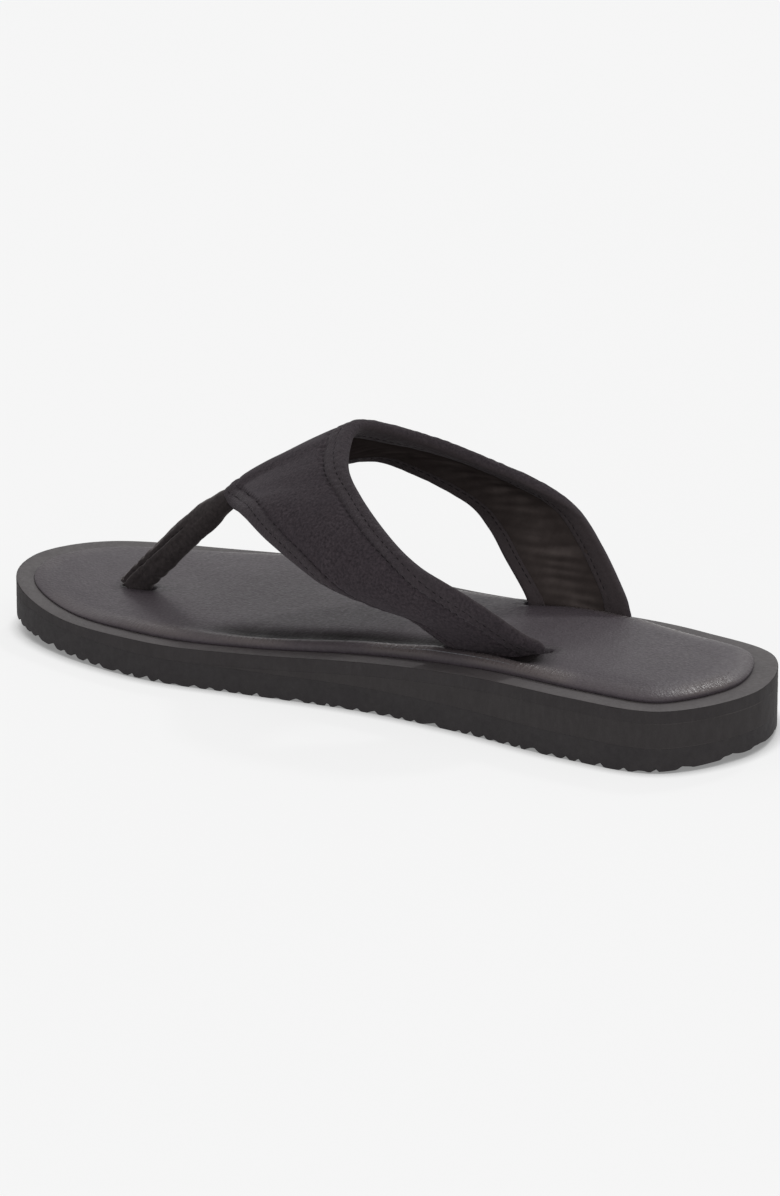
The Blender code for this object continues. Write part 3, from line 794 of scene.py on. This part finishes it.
def slits():
    """The three slits seen from above: their ends, half width and sideways bow."""
    post = np.array(POST_FOOT[:2])
    reach = np.array((0, POST_SLIT_REACH))
    bow = STRAP_CROWN * CROWN_AT_ROOTS
    return (
        (np.array(FRONT_EDGE[0][:2]), np.array(REAR_EDGE[0][:2]), STRAP_SLIT_HALF, -bow),
        (np.array(FRONT_EDGE[-1][:2]), np.array(REAR_EDGE[-1][:2]), STRAP_SLIT_HALF, bow),
        (post - reach, post + reach, POST_SLIT_HALF, 0.0),
    )


def slit_distance(x, y, a, b, radius, bow):
    """Distance outside a slit's outline, below 0 inside it."""
    line = b - a
    share = np.clip(((x - a[0]) * line[0] + (y - a[1]) * line[1]) / (line @ line), 0, 1)
    side = bow * 4 * share * (1 - share) / math.hypot(*line)
    centre_x = a[0] + share * line[0] - side * line[1]
    centre_y = a[1] + share * line[1] + side * line[0]
    return np.hypot(x - centre_x, y - centre_y) - radius


def slit_gap(x, y):
    """Distance to the nearest slit's outline."""
    return np.min([slit_distance(x, y, *slit) for slit in slits()], axis=0)


def outline_place(x, y):
    """Distance of points from the sole outline, and the length along the outline to there."""
    ring = outline_ring(0, OUTLINE_SAMPLES)
    tree = KDTree(len(ring))
    for i, (px, py) in enumerate(ring):
        tree.insert((px, py, 0), i)
    tree.balance()
    found = [tree.find((px, py, 0)) for px, py in zip(x, y)]
    step = np.linalg.norm(ring[1] - ring[0])
    return np.array([f[2] for f in found]), np.array([f[1] for f in found]) * step


def valley(x, y, inside):
    """1 along the hollow pressed beside the medial edge, from the ball back to the strap's root."""
    medial = ease(x, 8, 24)
    along = ease(y, -62, -20) * (1 - ease(y, 60, 80))
    centre = VALLEY_INSIDE + VALLEY_WANDER * np.sin(y / 19)
    width = np.where(inside < centre, VALLEY_OUTER_WIDTH, VALLEY_INNER_WIDTH)
    return medial * along * bell(inside, centre, width)


def slit_relief(x, y, number, slit):
    """Height added round one slit: a low lip, fine puckers and, at the strap's roots, a swelling."""
    a, b, _, bow = slit
    gap = slit_distance(x, y, *slit)
    turn = np.arctan2(y - (a[1] + b[1]) / 2, x - (a[0] + b[0]) / 2)
    pucker = np.sin(PUCKER_COUNT * turn + 3 * np.sin(5 * turn + number))
    relief = (bow != 0) * ROOT_SWELL * bell(gap, 0, ROOT_SWELL_REACH)
    relief += SLIT_LIP * bell(gap, 1.6, 1.8) + PUCKER_DEPTH * pucker * bell(gap, 1.2, 2.0)
    return relief - (pad_height(y) - 0.8) * (1 - ease(gap, -1.9, -0.1))


def footbed_relief(x, y, inside):
    """Height added to the plain footbed: crown, hollow, slits and slack."""
    relief = FOOTBED_CROWN * ease(inside, 0, FOOTBED_CROWN_REACH)
    toe_part = 1 - ease(y, TOE_PART_FROM, TOE_PART_TO)
    relief -= TOE_DIP * toe_part * (1 - ease(inside, 0, TOE_SLOPE_WIDTH))
    relief -= VALLEY_DEPTH * valley(x, y, inside) * (1 + 0.15 * ripple(x, y, 18, 13))
    edge_dip = HEEL_DIP * (1 - ease(inside, 0, HEEL_SLOPE_WIDTH))
    lateral_dip = HEEL_LATERAL_DIP * ease(-x, -5, 20)
    relief -= ease(y, HEEL_PART_FROM, HEEL_PART_TO) * (edge_dip + lateral_dip)
    relief += 0.10 * ripple(x, y, 34, 11) + 0.04 * ripple(x, y, 11, 12)
    for number, slit in enumerate(slits()):
        relief += slit_relief(x, y, number, slit)
    return relief


def pleat_and_highlight(y, along, rise, inside):
    """How strongly the leather is pleated, which also sets its painted highlight: along the rolled edge, at
    the waist and at the heel.
    """
    waves = ripple(along, 0 * along, 50, 23)
    where = 0.25 + 0.75 * ease(waves, -0.4, 0.5)
    where = where * (0.35 + 0.65 * ease(y, -95, -30))
    return where * np.clip(rise * 2, 0, 1) * (1 - ease(inside, 2.5, 7.5))


def build_footbed_cover():
    """Leather cover: it rises from a hem under the pad, rolls over its edge and spans the top."""
    levels = [(ROLL_UNDERCUT + HEM_WIDTH, -1)]
    for a in np.radians(np.linspace(-90, 90, ROLL_STEPS)):
        radius = ROLL_UNDERCUT if a < 0 else ROLL_RADIUS
        levels.append((radius * (1 - math.cos(a)), math.sin(a)))
    points = []
    for inset, rise in levels:
        ring = pad_ring(inset, COVER_POINTS)
        points.append(np.column_stack([ring, np.full(len(ring), rise)]))
    faces = grid_faces(len(levels), COVER_POINTS, wrap=True)
    rows = ring_rows(pad_ring(levels[-1][0], COVER_POINTS), COVER_ACROSS)
    flat = np.vstack(rows)
    points.append(np.column_stack([flat, np.ones(len(flat))]))
    faces += row_faces(rows, len(levels) * COVER_POINTS)
    obj = piece("footbed_cover_leather", np.vstack(points), faces, LEATHER, ["footbed_cover"])
    weld(obj)
    refine_near_slits(obj)
    shape_cover(obj)
    add_thickness(obj, COVER_THICKNESS)


def refine_near_slits(obj):
    """Cuts the flat plan of the cover finer where its slits will be pressed in."""
    with editing(obj.data) as bm:
        chosen = []
        for edge in bm.edges:
            mid = (edge.verts[0].co + edge.verts[1].co) / 2
            x, y, rise = np.array(mid) / MM + BOX_CENTRE
            if rise >= 0.999 and slit_gap(x, y) < SLIT_FINE_REACH:
                chosen.append(edge)
        bmesh.ops.subdivide_edges(bm, edges=chosen, cuts=3, use_grid_fill=True)


def shape_cover(obj):
    """Lifts the flat plan to its heights; the plan's own height says how far round the roll it is."""
    mesh = obj.data
    x, y, rise = mesh_points(mesh)
    distance, along = outline_place(x, y)
    inside = distance - rim_width(y)
    height = pad_height(y)
    middle = ROLL_LEVEL * height
    up = np.where(rise > 0, (height - middle) * rise, (middle - ROLL_START) * rise)
    relief = footbed_relief(x, y, inside) * np.clip(rise, 0, 1)
    strength = pleat_and_highlight(y, along, rise, inside)
    pleat = np.sin(math.tau * along / PLEAT_PITCH + 1.6 * ripple(along, 0 * along, 17, 21))
    set_heights(mesh, rim_height(y) + middle + up + relief + PLEAT_DEPTH * pleat * strength)
    # painted shade: darker in the hollow beside the medial edge, and a painted shadow round the slits
    shade = 1.5 * valley(x, y, inside - 0.6) + 0.35 * bell(slit_gap(x, y), 0, 3.0)
    place = mesh.attributes.new(PLEAT_PLACE, "FLOAT_VECTOR", "POINT")
    place.data.foreach_set("vector", (np.column_stack([along, inside / 7, 0 * along]) * MM).ravel())
    store(mesh, PLEAT_AND_HIGHLIGHT, strength)
    store(mesh, FOOTBED_SHADE, np.clip(shade, 0, 1))


def layer_under_cover(name, inset, low, high, slot, material, replaces):
    """A layer inside the footbed: filled between two heights, and open round each slit."""
    rows = ring_rows(pad_ring(inset, LAYER_POINTS), LAYER_ACROSS)
    flat = np.vstack(rows)
    x, y = flat.T
    inside = outline_place(x, y)[0] - rim_width(y)
    ceiling = rim_height(y) + pad_height(y) + footbed_relief(x, y, inside) - COVER_THICKNESS
    top = np.minimum(rim_height(y) + high, ceiling - CEILING_GAP[slot])
    bottom = np.minimum(rim_height(y) + low, top - THINNEST_LAYER)
    shut = slit_gap(x, y) > SLIT_MARGIN
    sheet = [face for face in row_faces(rows) if shut[face].all()]
    count = len(flat)
    faces = sheet + [[v + count for v in reversed(face)] for face in sheet]
    used = {(face[i - 1], face[i]) for face in sheet for i in range(len(face))}
    border = [(a, b) for a, b in sorted(used) if (b, a) not in used]
    faces += [[b, a, a + count, b + count] for a, b in border]
    points = np.vstack([np.column_stack([flat, top]), np.column_stack([flat, bottom])])
    layer = piece(name, points, faces, material, replaces, SHARP_ANGLE)
    drop_loose_points(layer)
    return layer


def drop_loose_points(obj):
    with editing(obj.data) as bm:
        loose = [vert for vert in bm.verts if not vert.link_faces]
        bmesh.ops.delete(bm, geom=loose, context="VERTS")


def build_footbed_layers():
    layer_under_cover("insole_board_sheet", BOARD_INSET, *BOARD, "board", BOARD_MATERIAL,
                      ["insole_board"])
    foam = layer_under_cover("footbed_foam_pad", FOAM_INSET, FOAM_FROM, PAD_HEEL, "cushion", CUSHION,
                             ["footbed_foam"])


# --- strap ---

def strap_frames():
    """Front points, chord directions, outward normals and widths of the strap's sections."""
    front = smooth_curve(FRONT_EDGE, STRAP_STEPS + 1)
    rear = smooth_curve(REAR_EDGE, STRAP_STEPS + 1)
    middle = (front + rear) / 2
    chord = unit(rear - front)
    outward = unit(np.cross(chord, np.gradient(middle, axis=0)))
    width = np.linalg.norm(rear - front, axis=1)
    return {"front": front, "chord": chord, "outward": outward, "width": width,
            "length": path_lengths(middle)}


def strap_surface(frames, across, offset):
    """Points at distances across from the front edge and outwards from the strap's mid-surface."""
    step = np.arange(STRAP_STEPS + 1)
    share = across / frames["width"][:, None]
    fade = CROWN_AT_ROOTS + (1 - CROWN_AT_ROOTS) * np.sin(math.pi * step / STRAP_STEPS)[:, None] ** 0.5
    skew = 1 + CROWN_SKEW * (1 - 2 * share)
    crown = STRAP_CROWN * fade * skew * 4 * share * (1 - share)
    return (frames["front"][:, None] + frames["chord"][:, None] * across[..., None]
            + frames["outward"][:, None] * (offset + crown)[..., None])


def stitch_pull(along, pull):
    """How far a row of stitches pulls the fabric: between its pricks, and more at each prick."""
    prick = 0.5 + 0.5 * np.cos(math.tau * along / STITCH_PITCH)
    return pull[0] + pull[1] * prick


def stitch_relief(along, across, width):
    """How far the topstitching pulls the fabric in, and the padding swells between its rows."""
    relief = np.zeros(np.broadcast(along, across).shape)
    for side, from_edge in enumerate((across, width - across)):
        relief -= stitch_pull(along, OUTER_ROW_PULL) * bell(from_edge, OUTER_ROW, 0.7)
        relief -= stitch_pull(along, INNER_ROW_PULL) * bell(from_edge, INNER_ROW, 0.9)
        relief += ROW_SWELL * bell(from_edge, (OUTER_ROW + INNER_ROW) / 2, 1.6)
        band = 1 - ease(from_edge, INNER_ROW - 1, INNER_ROW + 0.3)
        relief += 0.09 * ripple(along, 0.6 * across, 3.2, 31 + side) * band
        relief += 0.06 * ripple(along, across, 8, 36 + side) * band
    return relief


def strap_folds(along, across):
    """Slack in the strap's face: soft folds that run across it."""
    soft = ease(across, 2, 12)
    return soft * (0.12 * ripple(along, 0.5 * across, 22, 33) + 0.05 * ripple(along, 0.35 * across, 9, 34))


def tip_nearness(frames, reach):
    """1 at the step where the strap's front edge comes to its tip over the toe post, then fading."""
    tip = int(np.argmin(frames["front"][:, 1]))
    return bell(frames["length"], frames["length"][tip], reach)[:, None]


def strap_half(frames, across):
    """Half thickness of the strap at distances across from its front edge: it swells at the tip."""
    return SHELL_RADIUS + NECK_SWELL * tip_nearness(frames, 7) * np.exp(-(across / 9) ** 2)


def strap_section(frames):
    """Distance across and rise, -1 inside and 1 outside, of the sections' points, band to band."""
    width = frames["width"][:, None]
    front = strap_half(frames, 0 * width)
    radius = SHELL_RADIUS
    turns = np.radians(np.linspace(-80, 80, EDGE_POINTS))
    columns = [(FRONT_BAND + (front - FRONT_BAND) * share, -1) for share in shares(FRONT_BAND_POINTS)]
    columns += [(front * (1 - math.cos(a)), math.sin(a)) for a in turns]
    columns += [(front + (width - front - radius) * share, 1) for share in shares(FACE_POINTS)]
    columns += [(width - radius * (1 - math.cos(a)), math.sin(a)) for a in turns[::-1]]
    columns += [(width - radius + (radius - REAR_BAND) * share, -1) for share in shares(REAR_BAND_POINTS)]
    across = np.hstack([a for a, _ in columns])
    rise = np.hstack([r + 0 * width for _, r in columns])
    return across, rise


def build_strap():
    """Padded fabric turned round both edges of the strap, with all that is inside and sewn on it."""
    frames = strap_frames()
    width = frames["width"][:, None]
    length = frames["length"][:, None]
    across, rise = strap_section(frames)
    outer = np.clip(rise, 0, 1)
    inner = np.clip(-rise, 0, 1)
    offset = rise * strap_half(frames, across)
    offset += outer * (stitch_relief(length, across, width) + strap_folds(length, across))
    offset += inner * inner_band_relief(length, across, width)
    points = strap_surface(frames, across, offset)
    obj = piece("strap_fabric", points.reshape(-1, 3), grid_faces(*across.shape), FABRIC,
                ["strap_outer_fabric"])
    store(obj.data, STRAP_BAND, band_shade(frames, across) * (0.5 + 0.5 * outer))
    store(obj.data, STRAP_INSIDE, inner)
    add_thickness(obj, SHELL_THICKNESS)
    build_strap_padding(frames)
    build_strap_lining(frames)
    build_strap_stitches(frames)


def band_shade(frames, across):
    """1 along the stitched bands, less towards the strap's roots and more at its tip."""
    length = frames["length"][:, None]
    from_edge = np.minimum(across, frames["width"][:, None] - across)
    band = 1 - ease(from_edge, INNER_ROW - 0.8, INNER_ROW + 0.4)
    fading = ease(length, 20, 60) * (1 - ease(length, length[-1] - 60, length[-1] - 20))
    return np.clip(band * (0.35 + 0.65 * fading) + tip_nearness(frames, 6) * bell(across, 2, 6), 0, 1)


def inner_band_relief(along, across, width):
    """The turned-in bands on the inside: puckered where they are sewn to the lining."""
    relief = 0.06 * ripple(along, across, 4, 35)
    for from_edge, row in ((across, FRONT_SEAM), (width - across, REAR_SEAM)):
        relief = relief + stitch_pull(along, BAND_SEAM_PULL) * bell(from_edge, row, 0.7)
        relief = relief - 0.15 * bell(from_edge, row - 2, 1.4)
    return relief


def layer_tube(name, frames, margins, low, high, across_points, material, replaces):
    """A closed layer inside the strap between two offset functions of (along, across)."""
    across = layer_across(frames, margins, across_points)
    along = frames["length"][:, None] + 0 * across
    top = strap_surface(frames, across, high(along, across))
    bottom = strap_surface(frames, across, low(along, across))
    loop = np.concatenate([top, bottom[:, ::-1]], axis=1)
    return piece(name, loop.reshape(-1, 3), tube_faces(*loop.shape[:2]), material, replaces)


def layer_across(frames, margins, count):
    """Evenly spaced distances across the strap, between margins from its front and rear edges."""
    width = frames["width"][:, None]
    return margins[0] + (width - sum(margins)) * shares(count)[None]


def build_strap_padding(frames):
    """Foam pad between outer fabric and lining, thinned towards its edges."""
    width = frames["width"][:, None]
    margin, taper, points_across = 2.2, 3, 12

    def edge(across):
        return np.clip(np.minimum(across - margin, width - across - margin) / taper, 0, 1) ** 0.5

    pad = layer_tube(
        "strap_foam", frames, (margin, margin), lambda s, a: -0.5 * edge(a),
        lambda s, a: 0.05 + 0.75 * edge(a), points_across, CUSHION, ["strap_padding"],
    )


def build_strap_lining(frames):
    """Satin lining with wrinkles across it, where the strap bends inwards."""
    width = frames["width"][:, None]
    length = frames["length"][:, None]
    margins = (4.5, 6.5)
    level, thickness, depth = -1.85, 0.3, 0.5

    def fold_depth(along, across):
        wander = 2.2 * ripple(along, 0.4 * across, 26, 42) + 0.5 * ripple(along, 0.4 * across, 12, 44)
        fold = 0.5 + 0.5 * np.sin(math.tau * (along + wander) / WRINKLE_PITCH)
        fold = 0.6 * fold + 0.4 * ease(ripple(along, 0.3 * across, 8, 45), -0.6, 0.6)
        uneven = 0.5 + 0.5 * ease(ripple(along, 0.5 * across, 12, 43), -0.6, 0.6)
        return bell(across, width / 2 - 1, 10) * fold * uneven

    def surface(along, across):
        return level - depth * fold_depth(along, across) - 0.08 * ripple(along, 0.5 * across, 6, 41)

    lining = layer_tube(
        "strap_lining_satin", frames, margins, surface, lambda s, a: surface(s, a) + thickness,
        LINING_ACROSS, LINING, ["strap_lining"],
    )
    # painted shade: the lining is coloured darker in the hollows between its folds, and a painted shadow
    # under the strap's apex
    apex_shadow = 0.8 * bell(length, length[-1] / 2, 48)
    folds = fold_depth(length, layer_across(frames, margins, LINING_ACROSS))
    hollow = 1 - folds * (1 - apex_shadow)
    store(lining.data, LINING_FOLD_SHADE, np.concatenate([hollow, hollow[:, ::-1]], axis=1))


def strap_row(frames, from_edge, rear, inside=False):
    """A line of points along the strap at a distance from one of its edges."""
    width = frames["width"][:, None]
    across = (width - from_edge) if rear else (from_edge + 0 * width)
    length = frames["length"][:, None]
    half = strap_half(frames, across)
    if inside:
        height = -half + inner_band_relief(length, across, width) - THREAD_PROUD
    else:
        height = half + stitch_relief(length, across, width) + strap_folds(length, across) + THREAD_PROUD
    return strap_surface(frames, across, height)[:, 0]


def stitches(name, path, replaces, pitch=STITCH_PITCH, radius=0.2, fill=0.72):
    """Separate stitches along a path: each a short thread that dips into the fabric at its ends."""
    lengths = path_lengths(path)
    points, faces = [], []
    sides, rings = 6, len(STITCH_TAPER)
    for number in range(int(lengths[-1] // pitch)):
        t = (number + 0.5 + fill * np.linspace(-0.5, 0.5, rings)) * pitch
        line = np.column_stack([np.interp(t, lengths, column) for column in path.T])
        direction = unit(line[-1] - line[0])
        up = unit(np.cross(direction, (0.31, 0.17, 0.93)))
        side = np.cross(direction, up)
        faces += tube_faces(rings, sides, len(points))
        for centre, taper in zip(line, STITCH_TAPER):
            for turn in np.linspace(0, math.tau, sides, endpoint=False):
                points.append(centre + (up * math.cos(turn) + side * math.sin(turn)) * taper * radius)
    piece(name, np.array(points), faces, THREAD, replaces)


def build_strap_stitches(frames):
    """Two rows outside along each edge, and one row on each turned-in band."""
    kept = slice(ROOT_STEPS, -ROOT_STEPS)
    for side in ("front", "rear"):
        for ending, from_edge in (("", OUTER_ROW), ("_inner", INNER_ROW)):
            path = strap_row(frames, from_edge, side == "rear")
            stitches(f"strap_stitches_{side}{ending}", path[kept], [f"strap_topstitch_{side}{ending}"])
    for side, from_edge in (("front", FRONT_SEAM), ("rear", REAR_SEAM)):
        path = strap_row(frames, from_edge, side == "rear", inside=True)
        stitches(f"lining_stitches_{side}", path[kept], [])


# --- toe post ---

def post_seam(t):
    """Angle round the post of the seam on its near face, at a share t of its length."""
    return np.radians(POST_SEAM_START + POST_SEAM_TURN * t)


def post_swell(t, turn):
    """Height added to the post's surface: its seam, the fabric beside it, creases and slack."""
    seam = np.angle(np.exp(1j * (turn - post_seam(t))))
    fading = 1 - ease(t, 0.45, 0.68)
    swell = sum(size * bell(seam, centre, width) for size, centre, width in POST_SEAM_PROFILE) * fading
    swell += 0.25 * bell(seam, 1.0, 0.4) * bell(t, 0.3, 0.2)
    swell += 0.16 * ripple(t * 48, turn * 3.2, 9, 51) + 0.07 * ripple(t * 48, turn * 3.2, 3, 52)
    swell += 0.20 * np.sin(t * 85 + 2.5 * np.cos(turn - 0.5)) * bell(t, 0.17, 0.1)
    return swell * (1 - ease(t, 0.8, 0.9))


def post_surface(grow=0.0):
    """Rings of points up the toe post, with its seam and creases; its end is inside the strap."""
    path = smooth_curve((POST_BASE, POST_FOOT, POST_MIDDLE, POST_TOP, POST_END), POST_STEPS)
    along = unit(np.gradient(path, axis=0))
    sideways = np.array((1.0, 0.0, 0.0))
    fore_aft = unit(np.cross(along, sideways))
    t = shares(POST_STEPS)[:, None]
    turn = np.linspace(0, math.tau, POST_SIDES, endpoint=False)[None]
    width = POST_WIDTH / 2 * (0.97 + 0.02 * bell(t, 0.45, 0.2))
    width = width * (1 - 0.24 * ease(t, 0.68, 0.86) - 0.36 * ease(t, 0.86, 1.0))
    depth = POST_DEPTH / 2 * (1 + 0.10 * ease(t, 0.6, 0.85))
    swell = grow + post_swell(t, turn)
    return (path[:, None] + sideways * ((depth + swell) * np.cos(turn))[..., None]
            + fore_aft[:, None] * ((width + swell) * np.sin(turn))[..., None])


def build_toe_post():
    """Fabric sleeve of the toe post, and the stitches along its seam."""
    points = post_surface()
    obj = piece("toe_post_fabric", points.reshape(-1, 3), grid_faces(POST_STEPS, POST_SIDES, wrap=True),
                POST_FABRIC, ["toe_post_sleeve", "neck_seam_thread"])
    add_thickness(obj, POST_WALL)
    rows = np.arange(int(0.14 * POST_STEPS), int(0.6 * POST_STEPS))
    columns = np.round(post_seam(rows / (POST_STEPS - 1)) / math.tau * POST_SIDES).astype(int)
    seam = post_surface(grow=0.05)[rows, columns % POST_SIDES]
    stitches("toe_post_seam_stitches", seam, ["toe_post_topstitch"], pitch=2.4, radius=0.16)


# --- carried-over nodes ---

def finish_inner_nodes():
    """Gives the webbing, which stays as the part has it, its material."""
    for node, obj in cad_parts.items():
        if node.endswith("_anchor") or node == "toe_post_core":
            obj.data.materials.clear()
            obj.data.materials.append(WEBBING)


# --- floor, light and camera (metres and degrees) ---

FLOOR_HALF = 6.0
FLOOR_TONE = 0.12
FLOOR_GLOW = 0.780
CONTACT_SHADOW_REACH = 0.009
CONTACT_SHADOW_DARK = 0.30
WORLD_LIGHT = 0.82
LAMPS = (
    ("top light", 0.3, 34, (0.12, 0.42, 0.9)),
    ("back light", 0.8, 7, (-0.685, -0.159, 0.71)),
    ("front fill", 0.65, 60, (0.8, 0.52, 0.25)),
)
CAMERA_AZIMUTH = 124.32
CAMERA_ELEVATION = 18.03
CAMERA_DISTANCE = 2.04
CAMERA_LENS = 196.1
CAMERA_SENSOR = 36
CAMERA_TARGET = Vector((0.00225, 0.00195, 0.0193))
CAMERA_SLIDE = (-0.00213, 0.00573)


def build_floor():
    mesh = bpy.data.meshes.new("floor")
    s = FLOOR_HALF
    mesh.from_pydata([(-s, -s, 0), (s, -s, 0), (s, s, 0), (-s, s, 0)], [], [(0, 1, 2, 3)])
    floor = add_to_scene("floor", mesh)
    m = Nodes("pale floor", 0.95, 0.0)
    # the even floor glow is dimmed by ambient occlusion next to the sole: a painted contact shadow
    contact_shadow = m.node("ShaderNodeAmbientOcclusion", Distance=CONTACT_SHADOW_REACH)
    glow = m.colours(contact_shadow.outputs["AO"], (CONTACT_SHADOW_DARK,) * 3, (1.0,) * 3, 0.35, 0.8)
    m.set(Emission_Strength=FLOOR_GLOW, Emission_Color=glow)
    m.base(m.colours(m.noise(400), (FLOOR_TONE,) * 3, (FLOOR_TONE + 0.004,) * 3))
    mesh.materials.append(m.material)


def build_lights():
    world = bpy.data.worlds.new("studio")
    bpy.context.scene.world = world
    world.use_nodes = True
    background = world.node_tree.nodes["Background"]
    background.inputs["Color"].default_value = (1, 1, 1, 1)
    background.inputs["Strength"].default_value = WORLD_LIGHT
    for name, strength, spread, direction in LAMPS:
        sun = bpy.data.lights.new(name, "SUN")
        sun.energy = strength
        sun.angle = math.radians(spread)
        lamp = add_to_scene(name, sun)
        lamp.rotation_euler = Vector(direction).to_track_quat("Z", "Y").to_euler()


def build_camera():
    azimuth, elevation = math.radians(CAMERA_AZIMUTH), math.radians(CAMERA_ELEVATION)
    level = math.cos(elevation)
    back = Vector((math.sin(azimuth) * level, -math.cos(azimuth) * level, math.sin(elevation)))
    right = Vector((math.cos(azimuth), math.sin(azimuth), 0))
    data = bpy.data.cameras.new("camera")
    data.lens = CAMERA_LENS
    data.sensor_width = CAMERA_SENSOR
    data.clip_end = 50
    camera = add_to_scene("camera", data)
    slide = right * CAMERA_SLIDE[0] + back.cross(right) * CAMERA_SLIDE[1]
    camera.location = CAMERA_TARGET + back * CAMERA_DISTANCE + slide
    camera.rotation_euler = back.to_track_quat("Z", "Y").to_euler()
    bpy.context.scene.camera = camera
    bpy.context.scene.view_settings.view_transform = "Standard"


build_sole()
build_footbed_cover()
build_footbed_layers()
build_strap()
build_toe_post()
finish_inner_nodes()
build_floor()
build_lights()
build_camera()
